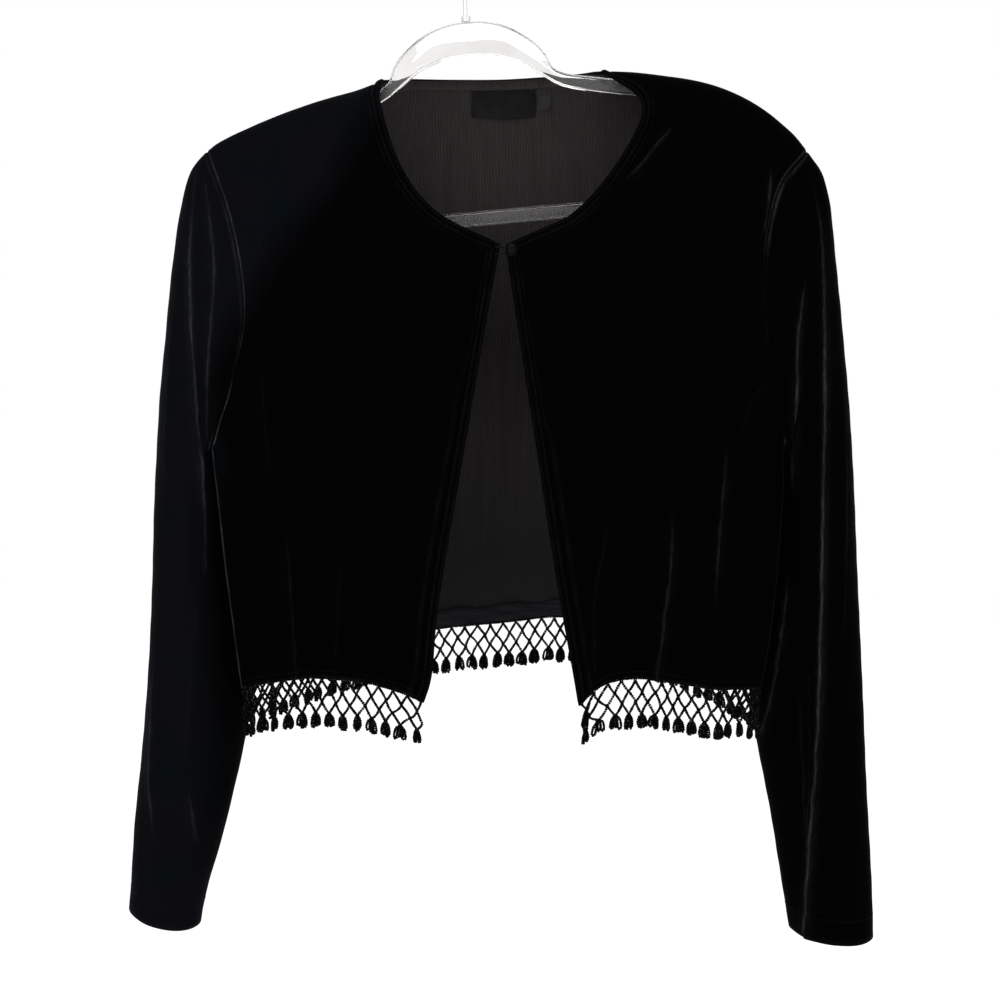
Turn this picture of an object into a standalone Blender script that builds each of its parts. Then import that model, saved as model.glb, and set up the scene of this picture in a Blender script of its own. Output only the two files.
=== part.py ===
"""Cropped long-sleeved velvet jacket with a fringed hem, hanging on a clear clothes hanger.

Metres, +Z up, the fronts face -Y. The origin is the inside of the hook's crown, where a rail holds it.
"across" is measured from the jacket's centre line, "drop" downwards from the origin, and "fall" downwards
from the shoulder ridge. The wearer's right side hangs towards -X.
"""
import math
from collections import namedtuple

import bmesh
import bpy
import numpy as np

# Driving dimensions
CENTRE_X = 0.035
WALL = 0.0022
SEAM_GAP = 0.0003
SEAM_SHARE = 0.8
BAND_WIDTH = 0.006
BAND_FALL_SHARE = 0.6
ROUNDING_FALL = 0.10
SEAM_LINE_BACK = -0.022
SHOULDER_TIP_DROP = 0.168
UNDERARM_DROP = 0.385

FRONT_COLUMNS = (0, 0.12, 0.25, 0.37, 0.49, 0.60, 0.71, 0.81, 0.90, 0.965, 1)
SIDE_ROWS = 6
ARMHOLE_ROWS = (0, 0.18, 0.36, 0.54, 0.70, 0.82, 0.91, 0.965, 1)
EDGE_ROWS = 6
NECK_ROWS = (0, 0.19, 0.36, 0.52, 0.66, 0.79, 0.89, 0.955, 1)
NECK_COLUMNS = 6
HEM_NECK_ACROSS = 0.075

SLEEVE_RINGS = 14
UNDERARM_SHARE = 0.10
UNDERARM_GAP = 0.0026
SLEEVE_CREASE_HEIGHT = 0.0025
SLEEVE_CREASE_COLUMN = 3

NET_PITCH = 0.010
NET_LEVEL = 0.0078
NET_CORD = 0.0011
NET_THICKNESS = 0.0012
NET_LOW_LEVEL = 3
NET_MARGIN = 0.002
STRIP_DROP = 0.0007
STRIP_HEIGHT = 0.0013
STRAND_WIDTH = 0.0013
STRAND_SPACING = 0.00205
STRAND_LENGTHS = (0.0068, 0.0082, 0.0074)
STRAND_SPREAD = 1.25

HANGER_TOP = (0.0066, 0.0754)
HANGER_TILT = math.radians(5.2)
HANGER_DEPTH = 0.006
BAR_DROP = 0.1418
BAR_HEIGHT = 0.011
BAR_HALF = 0.128
HOOK_WIRE = 0.0032
HOOK_INSIDE = 0.034

BUTTON_ACROSS = 0.0046
BUTTON_DROP = 0.2415
BUTTON_DIAMETER = 0.0072
BUTTON_SHANK = 0.0022
BUTTON_SHANK_DIAMETER = 0.0018
LOOP_CORD = 0.0011

LABEL_ACROSS = (-0.0254, 0.0235)
LABEL_DROPS = (0.1190, 0.1375)
TAB_ACROSS = (0.0243, 0.0358)
TAB_DROPS = (0.1215, 0.1325)
LABEL_THICKNESS = 0.0008
LABEL_GAP = 0.0005

Point = namedtuple("Point", "across drop")
Depth = namedtuple("Depth", "drop front back")
SleeveDepth = namedtuple("SleeveDepth", "share middle half skew")
Fold = namedtuple("Fold", "top_across top_drop low_across low_drop height width")
Side = namedtuple("Side", "sign neck edge hem armhole width sleeve_outer sleeve_inner folds")

# The line on which the cloth is highest, from the wearer's right tip to the left one. Inside the neck
# it is where the cloth would be without a neck opening.
RIDGE = [
    Point(-0.2180, 0.1680), Point(-0.2062, 0.1599), Point(-0.1738, 0.1455), Point(-0.1357, 0.1320),
    Point(-0.1057, 0.1235), Point(-0.0890, 0.1160), Point(-0.0700, 0.1020), Point(-0.0350, 0.0840),
    Point(0.0000, 0.0780), Point(0.0350, 0.0850), Point(0.0560, 0.1000), Point(0.0700, 0.1097),
    Point(0.0984, 0.1118), Point(0.1356, 0.1168), Point(0.1619, 0.1240), Point(0.1850, 0.1355),
    Point(0.2076, 0.1530), Point(0.2210, 0.1680)]

# How far the front and the back stand from the seam line
DEPTHS = [
    Depth(0.10, 0.044, 0.058), Depth(0.24, 0.042, 0.062), Depth(0.385, 0.036, 0.072), Depth(0.60, 0.036, 0.074)]

BACK_HEM = [
    Point(-0.1959, 0.5611), Point(-0.1500, 0.5480), Point(-0.1000, 0.5365), Point(-0.0527, 0.5294),
    Point(0.0026, 0.5240), Point(0.0454, 0.5200), Point(0.1000, 0.5285), Point(0.1500, 0.5440),
    Point(0.1902, 0.5611)]

BACK_NECK = [
    Point(-0.0890, 0.1160), Point(-0.0714, 0.1130), Point(-0.0400, 0.1120), Point(-0.0036, 0.1115),
    Point(0.0300, 0.1100), Point(0.0560, 0.1093), Point(0.0700, 0.1097)]

BACK_FOLDS = [
    Fold(-0.110, 0.200, -0.125, 0.545, 0.0050, 0.016), Fold(0.060, 0.240, 0.075, 0.540, 0.0055, 0.018),
    Fold(0.140, 0.260, 0.130, 0.550, 0.0045, 0.014)]

RIGHT = Side(
    sign=-1,
    neck=[Point(0.0890, 0.1160), Point(0.0912, 0.1260), Point(0.0901, 0.1355), Point(0.0840, 0.1583),
          Point(0.0756, 0.1799), Point(0.0641, 0.1985), Point(0.0499, 0.2135), Point(0.0314, 0.2247),
          Point(0.0150, 0.2320), Point(0.0043, 0.2372)],
    edge=[Point(0.0043, 0.2372), Point(0.0164, 0.3047), Point(0.0279, 0.3715), Point(0.0481, 0.4905),
          Point(0.0534, 0.5440), Point(0.0592, 0.5657)],
    hem=[Point(0.0592, 0.5657), Point(0.0678, 0.5610), Point(0.0843, 0.5550), Point(0.1116, 0.5490),
         Point(0.1440, 0.5480), Point(0.1750, 0.5535), Point(0.1959, 0.5611)],
    armhole=[Point(0.2149, 0.3850), Point(0.2085, 0.3655), Point(0.2010, 0.3420), Point(0.1900, 0.3065),
             Point(0.1878, 0.2785), Point(0.1922, 0.2430), Point(0.2017, 0.2074), Point(0.2180, 0.1680)],
    width=[Point(0.2750, 0.1000), Point(0.2640, 0.1680), Point(0.2520, 0.2400), Point(0.2420, 0.3000),
           Point(0.2290, 0.3450), Point(0.2149, 0.3850), Point(0.2104, 0.4292), Point(0.2066, 0.4698),
           Point(0.2012, 0.5153), Point(0.1959, 0.5611)],
    sleeve_outer=[Point(0.2180, 0.1680), Point(0.2290, 0.1816), Point(0.2362, 0.2033), Point(0.2419, 0.2324),
                  Point(0.2514, 0.3057), Point(0.2596, 0.3872), Point(0.2652, 0.4812), Point(0.2716, 0.5765),
                  Point(0.2811, 0.6692), Point(0.2870, 0.7365)],
    sleeve_inner=[Point(0.2149, 0.3850), Point(0.2190, 0.3900), Point(0.2180, 0.3990), Point(0.2125, 0.4150),
                  Point(0.2062, 0.4450), Point(0.1998, 0.4900),
                  Point(0.1950, 0.5300), Point(0.1942, 0.5688), Point(0.1988, 0.6072), Point(0.2126, 0.6692),
                  Point(0.2297, 0.7318), Point(0.2330, 0.7500)],
    folds=[Fold(0.150, 0.330, 0.160, 0.550, 0.0045, 0.015), Fold(0.110, 0.420, 0.120, 0.560, 0.0035, 0.014)])

LEFT = Side(
    sign=1,
    neck=[Point(0.0700, 0.1097), Point(0.0790, 0.1172), Point(0.0930, 0.1275), Point(0.0985, 0.1375),
          Point(0.0965, 0.1500), Point(0.0870, 0.1685), Point(0.0726, 0.1899), Point(0.0584, 0.2063),
          Point(0.0445, 0.2180), Point(0.0234, 0.2275), Point(0.0014, 0.2372)],
    edge=[Point(0.0014, 0.2372), Point(0.0035, 0.2551), Point(0.0124, 0.3133), Point(0.0243, 0.3901),
          Point(0.0376, 0.4760), Point(0.0495, 0.5440), Point(0.0534, 0.5679)],
    hem=[Point(0.0534, 0.5679), Point(0.0620, 0.5580), Point(0.0749, 0.5505), Point(0.1008, 0.5470),
         Point(0.1277, 0.5518), Point(0.1476, 0.5555), Point(0.1750, 0.5585), Point(0.1902, 0.5611)],
    armhole=[Point(0.2040, 0.3761), Point(0.1985, 0.3520), Point(0.1915, 0.3250), Point(0.1860, 0.2900),
             Point(0.1855, 0.2600), Point(0.1890, 0.2250), Point(0.1990, 0.1930), Point(0.2210, 0.1680)],
    width=[Point(0.2750, 0.1000), Point(0.2640, 0.1680), Point(0.2510, 0.2400), Point(0.2360, 0.3000),
           Point(0.2200, 0.3400), Point(0.2040, 0.3761), Point(0.2045, 0.4164), Point(0.2003, 0.4850),
           Point(0.1957, 0.5306), Point(0.1902, 0.5611)],
    sleeve_outer=[Point(0.2210, 0.1680), Point(0.2305, 0.1816), Point(0.2371, 0.2033), Point(0.2420, 0.2400),
                  Point(0.2501, 0.3057), Point(0.2583, 0.3872), Point(0.2647, 0.4812), Point(0.2704, 0.5765),
                  Point(0.2769, 0.6692), Point(0.2815, 0.7590)],
    sleeve_inner=[Point(0.2040, 0.3761), Point(0.2070, 0.3810), Point(0.2062, 0.3910), Point(0.2025, 0.4100),
                  Point(0.1980, 0.4400), Point(0.1945, 0.4850),
                  Point(0.1905, 0.5300), Point(0.1889, 0.5765), Point(0.1924, 0.6072), Point(0.2047, 0.6692),
                  Point(0.2140, 0.7318), Point(0.2172, 0.7540)],
    folds=[Fold(0.163, 0.400, 0.152, 0.550, 0.0060, 0.014), Fold(0.124, 0.420, 0.108, 0.550, 0.0060, 0.016),
           Fold(0.075, 0.440, 0.064, 0.545, 0.0030, 0.012)])

SIDES = {"right": RIGHT, "left": LEFT}

# The sleeve's section from the armhole (share 0) to the cuff (share 1)
SLEEVE_DEPTHS = [
    SleeveDepth(0.00, 0.000, 0.034, 0.000), SleeveDepth(0.10, 0.008, 0.040, 0.006),
    SleeveDepth(0.20, 0.015, 0.046, 0.012), SleeveDepth(0.35, 0.020, 0.048, 0.014),
    SleeveDepth(0.50, 0.019, 0.046, 0.012), SleeveDepth(0.65, 0.014, 0.041, 0.007),
    SleeveDepth(0.80, 0.008, 0.037, 0.003), SleeveDepth(1.00, 0.003, 0.034, 0.000)]

# The hanger's upper and lower outlines, from its middle to one end, in its own untilted frame
HANGER_UPPER = [
    Point(0.0000, 0.0000), Point(0.0120, 0.0008), Point(0.0240, 0.0040), Point(0.0360, 0.0100),
    Point(0.0480, 0.0190), Point(0.0560, 0.0285), Point(0.0605, 0.0385), Point(0.0680, 0.0430),
    Point(0.0780, 0.0455), Point(0.1050, 0.0508), Point(0.1500, 0.0615), Point(0.1780, 0.0705),
    Point(0.1860, 0.0760), Point(0.1880, 0.0810)]
HANGER_LOWER = [
    Point(0.1850, 0.0855), Point(0.1760, 0.0850), Point(0.1500, 0.0740), Point(0.1220, 0.0650),
    Point(0.0900, 0.0585), Point(0.0660, 0.0520), Point(0.0500, 0.0415), Point(0.0360, 0.0320),
    Point(0.0180, 0.0260)]
HANGER_LOWER_MIDDLE = Point(0.000, 0.0245)
BAR_RISE = [
    Point(0.1700, 0.0860), Point(0.1690, 0.1000), Point(0.1640, 0.1160), Point(0.1530, 0.1310),
    Point(0.1400, 0.1392)]


def between(table, key, value, wanted):
    """Read one named column of a table at a value of another one."""
    keys = [getattr(row, key) for row in table]
    values = [getattr(row, value) for row in table]
    return np.interp(wanted, keys, values)


def smooth_curve(points, steps=10):
    """Points of a smooth curve that runs through all the given ones."""
    points = np.asarray(points, float)
    padded = np.vstack([2 * points[0] - points[1], points, 2 * points[-1] - points[-2]])
    curve = []
    for before, start, end, after in zip(padded, padded[1:], padded[2:], padded[3:]):
        for part in np.linspace(0, 1, steps, endpoint=False):
            linear = (end - before) * part
            square = (2 * before - 5 * start + 4 * end - after) * part ** 2
            cube = (3 * start - before - 3 * end + after) * part ** 3
            curve.append(start + 0.5 * (linear + square + cube))
    curve.append(points[-1])
    return np.array(curve)


def at_shares(curve, shares):
    """Points at the given shares of a curve's length."""
    steps = np.linalg.norm(np.diff(curve, axis=0), axis=1)
    lengths = np.concatenate([[0], np.cumsum(steps)])
    wanted = np.asarray(shares) * lengths[-1]
    return np.column_stack([np.interp(wanted, lengths, curve[:, axis]) for axis in range(curve.shape[1])])


SMOOTH_RIDGE = smooth_curve(RIDGE)
SMOOTH_BACK_HEM = smooth_curve(BACK_HEM)


def ridge_drop(across):
    return np.interp(across, SMOOTH_RIDGE[:, 0], SMOOTH_RIDGE[:, 1])


def fullness(across, drop):
    """Share of the full depth that the cloth has reached, which rounds the shoulder over the hanger."""
    left = np.clip(1 - (drop - ridge_drop(across)) / ROUNDING_FALL, 0, 1)
    return np.sqrt(1 - left ** 2.2)


def seam_line(drop):
    """Y of the side seam, which lies nearer the front below the shoulders."""
    share = np.clip((drop - SHOULDER_TIP_DROP) / (UNDERARM_DROP - SHOULDER_TIP_DROP), 0, 1)
    return SEAM_LINE_BACK * share ** 2 * (3 - 2 * share)


def fold_height(folds, across, drop):
    """Height of the soft folds at a place, each highest along its line and fading at its top."""
    total = 0.0
    for fold in folds:
        share = np.clip((drop - fold.top_drop) / (fold.low_drop - fold.top_drop), 0, 1)
        line = fold.top_across + share * (fold.low_across - fold.top_across)
        total = total + fold.height * np.sqrt(share) * np.exp(-((across - line) / fold.width) ** 2)
    return total


def side_of(across):
    return LEFT if across > 0 else RIGHT


def roundness(across, drop, power):
    """Share of the depth left at a distance from the centre line, none at the body's full width."""
    width = between(side_of(across).width, "drop", "across", drop)
    return 1 - min(abs(across) / width, 1) ** power


def front_y(across, drop):
    share = roundness(across, drop, 3.0) ** 0.4545 * fullness(across, drop)
    depth = between(DEPTHS, "drop", "front", drop)
    depth = depth + fold_height(side_of(across).folds, abs(across), drop)
    return seam_line(drop) - depth * share


def back_y(across, drop):
    share = roundness(across, drop, 2.0) ** 0.5 * fullness(across, drop)
    depth = between(DEPTHS, "drop", "back", drop) + fold_height(BACK_FOLDS, across, drop)
    return seam_line(drop) + depth * share


def placed(flat, surface):
    """Lay a grid of (across, drop) on the front's or the back's surface."""
    grid = np.empty(flat.shape[:-1] + (3,))
    for place in np.ndindex(flat.shape[:-1]):
        across, drop = flat[place]
        grid[place] = (CENTRE_X + across, surface(across, drop), -drop)
    return grid


def filled(bottom, top, first, last, column_shares, row_shares):
    """Grid of points between four boundary curves (a Coons patch)."""
    grid = np.empty((len(row_shares), len(column_shares), 2))
    for row, rise in enumerate(row_shares):
        for column, along in enumerate(column_shares):
            ruled = (1 - rise) * bottom[column] + rise * top[column]
            ruled = ruled + (1 - along) * first[row] + along * last[row]
            corners = (1 - rise) * ((1 - along) * bottom[0] + along * bottom[-1])
            corners = corners + rise * ((1 - along) * top[0] + along * top[-1])
            grid[row, column] = ruled - corners
    return grid


def inset(curve, width, sign):
    """The same curve moved sideways by a width, with mitred corners."""
    directions = np.diff(curve, axis=0)
    directions = directions / np.linalg.norm(directions, axis=1)[:, None]
    normals = sign * np.column_stack([-directions[:, 1], directions[:, 0]])
    moved = []
    for index, point in enumerate(curve):
        before = normals[max(index - 1, 0)]
        after = normals[min(index, len(normals) - 1)]
        middle = (before + after) / np.linalg.norm(before + after)
        moved.append(point + middle * width / max(middle @ before, 0.5))
    return np.array(moved)


def signed(points, side):
    return np.array(points) * (side.sign, 1)


class Cloth:
    """One cut piece: a grid of outer points, and which of its edges are sewn to another piece.

    "sides" names the edges that run up a side seam and round an armhole. A sleeve is a closed ring, and its
    underarm point is moved away from the side seam's end.
    """

    def __init__(self, name, points, sewn, sides=(), underarm_shift=None):
        self.name = name
        self.points = points
        self.sewn = sewn
        self.sides = sides
        self.ring = underarm_shift is not None
        self.underarm_shift = underarm_shift
        self.inner = None

    def normals(self):
        """Outward direction at each point."""
        if self.ring:
            around = np.roll(self.points, -1, axis=1) - np.roll(self.points, 1, axis=1)
        else:
            around = np.gradient(self.points, axis=1)
        along = np.gradient(self.points, axis=0)
        normals = np.cross(around, along)
        normals = normals / np.linalg.norm(normals, axis=2)[:, :, None]
        inside = self.points.mean(axis=1, keepdims=True) if self.ring else np.array([CENTRE_X, 0, -0.30])
        if ((self.points - inside) * normals).sum() < 0:
            normals = -normals
        return normals

    def open_seams(self):
        """Draw each sewn edge back into its own piece by half the seam's gap."""
        moves = np.zeros_like(self.points)
        for edge in self.sewn:
            at = 0 if "first" in edge else -1
            inward = 1 if "first" in edge else -2
            place = (slice(None), at) if "column" in edge else at
            beside = (slice(None), inward) if "column" in edge else inward
            line = self.points[place]
            if self.ring:
                along = np.roll(line, -1, axis=0) - np.roll(line, 1, axis=0)
            else:
                along = np.gradient(line, axis=0)
            apart = np.cross(along, self.points[place] - self.inner[place])
            apart = apart / np.linalg.norm(apart, axis=1)[:, None]
            inwards = self.points[beside] - line
            pull = apart * np.sign((apart * inwards).sum(axis=1))[:, None]
            if edge in self.sides:
                pull[SIDE_ROWS] += (0, np.sign(inwards[SIDE_ROWS, 1]), 0)
            moves[place] += pull * SEAM_GAP * SEAM_SHARE
        if self.ring:
            moves[0, self.points.shape[1] // 2] += self.underarm_shift
        self.points = self.points + moves
        self.inner = self.inner + moves

    def hem(self):
        """Middle of the wall along the lowest row."""
        return (self.points[0] + self.inner[0]) / 2

    def sample(self, column, row):
        """Point of the inner face at a place between grid lines, with the face's own direction."""
        left = min(int(column), self.inner.shape[1] - 2)
        low = min(int(row), self.inner.shape[0] - 2)
        across = column - left
        up = row - low
        corners = self.inner[low:low + 2, left:left + 2]
        weights = np.outer([1 - up, up], [1 - across, across])
        outward = (self.points - self.inner)[low:low + 2, left:left + 2]
        direction = (outward * weights[:, :, None]).sum(axis=(0, 1))
        return (corners * weights[:, :, None]).sum(axis=(0, 1)), direction / np.linalg.norm(direction)


def make_front(side):
    """Front panel and its edge band, between the edge, the neck, the shoulder, the armhole and the hem."""
    neck = at_shares(smooth_curve(side.neck)[::-1], NECK_ROWS)
    edge = at_shares(smooth_curve(side.edge)[::-1], np.linspace(0, 1, EDGE_ROWS + 1))
    border = signed(np.vstack([edge, neck[1:]]), side)
    seam = inset(border, BAND_WIDTH, side.sign)
    fall = border[:, 1] - ridge_drop(border[:, 0])
    seam[:, 1] = np.maximum(seam[:, 1], ridge_drop(seam[:, 0]) + BAND_FALL_SHARE * fall)
    hem_curve = signed(smooth_curve(side.hem), side)
    order = np.argsort(hem_curve[:, 0])
    seam[0] = (border[0][0] + side.sign * BAND_WIDTH, 0)
    seam[0][1] = np.interp(seam[0][0], hem_curve[order, 0], hem_curve[order, 1])
    seam[-1] = (border[-1][0] + side.sign * BAND_WIDTH, ridge_drop(border[-1][0] + side.sign * BAND_WIDTH))
    outline = side_outline(side)
    beyond = hem_curve[np.abs(hem_curve[:, 0]) > abs(seam[0][0]) + 0.001]
    hem = at_shares(np.vstack([seam[:1], beyond]), FRONT_COLUMNS)
    shoulder = shoulder_line(side, seam[-1][0])
    flat = filled(hem, shoulder, seam, outline, FRONT_COLUMNS, row_shares(side))
    panel = Cloth("front_" + name_of(side), placed(flat, front_y), ("last row", "first column", "last column"),
                  sides=("last column",))
    strip = placed(np.stack([border, seam], axis=1), front_y)
    return panel, Cloth("band_" + name_of(side), strip, ("last row", "last column"))


def name_of(side):
    return "left" if side.sign > 0 else "right"


def side_outline(side):
    """Side seam from the hem to the underarm, then the armhole up to the shoulder tip."""
    drops = np.linspace(side.hem[-1].drop, side.armhole[0].drop, SIDE_ROWS + 1)
    seam = np.column_stack([between(side.width, "drop", "across", drops), drops])
    armhole = at_shares(smooth_curve(side.armhole), ARMHOLE_ROWS)
    return signed(np.vstack([seam, armhole[1:]]), side)


def row_shares(side):
    """Height of each row as a share of the way from the hem to the shoulder."""
    drops = side_outline(side)[:, 1]
    return (drops[0] - drops) / (drops[0] - drops[-1])


def shoulder_line(side, neck_across):
    """Shoulder seam from the neck to the tip."""
    across = neck_across + np.array(FRONT_COLUMNS) * (side.sign * side.armhole[-1].across - neck_across)
    return np.column_stack([across, ridge_drop(across)])


def make_back():
    """Back panel in one piece, and the band round the back of its neck."""
    band_ends = (BACK_NECK[0].across - BAND_WIDTH, BACK_NECK[-1].across + BAND_WIDTH)
    neck = at_shares(smooth_curve(BACK_NECK), np.linspace(0, 1, NECK_COLUMNS + 1))
    seam = inset(neck, BAND_WIDTH, 1)
    for index, across in zip((0, -1), band_ends):
        seam[index] = (across, ridge_drop(across))
    shoulders = [shoulder_line(side, across) for side, across in zip(SIDES.values(), band_ends)]
    top = np.vstack([shoulders[0][::-1], seam[1:-1], shoulders[1]])
    lower = []
    for side in SIDES.values():
        width = side.hem[-1].across
        lower.append(side.sign * (HEM_NECK_ACROSS + (width - HEM_NECK_ACROSS) * np.array(FRONT_COLUMNS)))
    middle = np.linspace(-HEM_NECK_ACROSS, HEM_NECK_ACROSS, NECK_COLUMNS + 1)[1:-1]
    across = np.concatenate([lower[0][::-1], middle, lower[1]])
    bottom = np.column_stack([across, np.interp(across, SMOOTH_BACK_HEM[:, 0], SMOOTH_BACK_HEM[:, 1])])
    column_shares = (across - across[0]) / (across[-1] - across[0])
    flat = filled(bottom, top, side_outline(RIGHT), side_outline(LEFT), column_shares, row_shares(RIGHT))
    panel = Cloth("back", placed(flat, back_y), ("last row", "first column", "last column"),
                  sides=("first column", "last column"))
    strip = placed(np.stack([seam, neck]), back_y)
    return panel, Cloth("band_back_neck", strip, ("first row", "first column", "last column"))


def make_sleeve(side, front, back):
    """Sleeve as rings from the armhole, whose points are the panels' own, down to the cuff."""
    back_column = -1 if side.sign > 0 else 0
    front_loop = front.points[SIDE_ROWS:, -1][::-1]
    back_loop = back.points[SIDE_ROWS + 1:-1, back_column]
    armhole = np.vstack([front_loop, back_loop])
    count = len(armhole)
    angles = np.linspace(0, 2 * math.pi, count, endpoint=False)
    shares = (np.arange(1, SLEEVE_RINGS + 1) / SLEEVE_RINGS) ** 1.3
    outer = at_shares(smooth_curve(side.sleeve_outer), shares)
    inner = at_shares(smooth_curve(side.sleeve_inner), shares)
    rings = [armhole]
    for share, high, low in zip(shares, outer, inner):
        middle = between(SLEEVE_DEPTHS, "share", "middle", share)
        half = between(SLEEVE_DEPTHS, "share", "half", share)
        skew = between(SLEEVE_DEPTHS, "share", "skew", share)
        centre = (high + low) / 2
        reach = (high - low) / 2
        turns = np.cos(angles)
        across = centre[0] + reach[0] * turns
        drop = centre[1] + reach[1] * turns
        depth = middle - skew * turns - half * np.sin(angles)
        held = max(0, 1 - share / UNDERARM_SHARE) * np.clip(-turns, 0, 1)
        depth = depth + held * (armhole[:, 1] - depth)
        depth[SLEEVE_CREASE_COLUMN] -= SLEEVE_CREASE_HEIGHT * min(1, 4 * share)
        rings.append(np.column_stack([CENTRE_X + side.sign * across, depth, -drop]))
    shift = np.array([side.sign * UNDERARM_GAP, 0, 0])
    return Cloth("sleeve_" + name_of(side), np.array(rings), ("first row",), underarm_shift=shift)


def share_thickness(pieces):
    """Give pieces that meet the same outward direction at their common points, then their inner faces."""
    positions = np.vstack([piece.points.reshape(-1, 3) for piece in pieces])
    normals = np.vstack([piece.normals().reshape(-1, 3) for piece in pieces])
    on_sleeve = np.concatenate([np.full(piece.points.shape[0] * piece.points.shape[1], piece.ring)
                                for piece in pieces])
    merged = []
    for place in positions:
        here = np.abs(positions - place).max(axis=1) < 1e-5
        total = np.zeros(3)
        for family in (here & on_sleeve, here & ~on_sleeve):
            if family.any():
                mean = normals[family].sum(axis=0)
                total += mean / np.linalg.norm(mean)
        merged.append(total / np.linalg.norm(total))
    merged = np.array(merged)
    start = 0
    for piece in pieces:
        count = piece.points.shape[0] * piece.points.shape[1]
        directions = merged[start:start + count].reshape(piece.points.shape)
        piece.inner = piece.points - WALL * directions
        start += count


def new_collection(name):
    collection = bpy.data.collections.new(name)
    bpy.context.scene.collection.children.link(collection)
    return collection


def finish(name, colour, roughness, metallic=0.0, transmission=0.0):
    material = bpy.data.materials.new(name)
    material.use_nodes = True
    shader = material.node_tree.nodes["Principled BSDF"]
    shader.inputs["Base Color"].default_value = (*colour, 1)
    shader.inputs["Roughness"].default_value = roughness
    shader.inputs["Metallic"].default_value = metallic
    shader.inputs["Transmission Weight"].default_value = transmission
    return material


def add_mesh(name, vertices, faces, material, collection, rounded=True):
    """Object from vertices and faces, with its faces turned the same way."""
    mesh = bpy.data.meshes.new(name)
    mesh.from_pydata([tuple(vertex) for vertex in vertices], [], faces)
    shape = bmesh.new()
    shape.from_mesh(mesh)
    bmesh.ops.recalc_face_normals(shape, faces=shape.faces)
    shape.to_mesh(mesh)
    shape.free()
    mesh.materials.append(material)
    if rounded:
        mesh.shade_smooth()
        mesh.set_sharp_from_angle(angle=math.radians(50))
    thing = bpy.data.objects.new(name, mesh)
    collection.objects.link(thing)
    return thing


def wall_faces(rows, columns, ring):
    """Faces of a closed wall: an outer grid, an inner grid and the rims between them."""
    span = columns if ring else columns - 1
    size = rows * columns
    faces = []
    for row in range(rows - 1):
        for column in range(span):
            corner = row * columns + column
            beside = row * columns + (column + 1) % columns
            faces.append((corner, beside, beside + columns, corner + columns))
            faces.append((corner + size, corner + columns + size, beside + columns + size, beside + size))
    for row in (0, rows - 1):
        for column in range(span):
            corner = row * columns + column
            beside = row * columns + (column + 1) % columns
            faces.append((corner, beside, beside + size, corner + size))
    if not ring:
        for column in (0, columns - 1):
            for row in range(rows - 1):
                corner = row * columns + column
                faces.append((corner, corner + columns, corner + columns + size, corner + size))
    return faces


def add_cloth(piece, material, collection):
    rows, columns = piece.points.shape[:2]
    vertices = np.vstack([piece.points.reshape(-1, 3), piece.inner.reshape(-1, 3)])
    return add_mesh(piece.name, vertices, wall_faces(rows, columns, piece.ring), material, collection)


def place_on(piece, axis, wanted, fixed, index):
    """Where a grid line of a piece passes a wanted across or drop, counted in grid steps."""
    line = piece.inner[fixed, :, 0] - CENTRE_X if axis == "across" else -piece.inner[:, fixed, 2]
    steps = np.arange(len(line))
    order = np.argsort(line[index]) + index.start
    return float(np.interp(wanted, line[order], steps[order]))


def lines_between(start, end):
    """The two ends and every grid line between them."""
    inside = [line for line in range(math.ceil(start), math.floor(end) + 1) if start + 0.02 < line < end - 0.02]
    return [start, *inside, end]


def add_patch(name, piece, across, drops, material, collection):
    """Flat woven piece on the inner face of a panel, made from the panel's points."""
    rows, columns = piece.inner.shape[:2]
    neck = slice(len(FRONT_COLUMNS) - 1, len(FRONT_COLUMNS) + NECK_COLUMNS)
    middle = (neck.start + neck.stop) // 2
    starts = [place_on(piece, "across", value, rows - 2, neck) for value in across]
    heights = [place_on(piece, "drop", value, middle, slice(rows - 6, rows)) for value in drops[::-1]]
    outer = []
    inner = []
    column_lines = lines_between(*starts)
    row_lines = lines_between(*heights)
    for row in row_lines:
        for column in column_lines:
            point, direction = piece.sample(column, row)
            outer.append(point - direction * LABEL_GAP)
            inner.append(point - direction * (LABEL_GAP + LABEL_THICKNESS))
    faces = wall_faces(len(row_lines), len(column_lines), False)
    return add_mesh(name, outer + inner, faces, material, collection, rounded=False)


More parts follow.
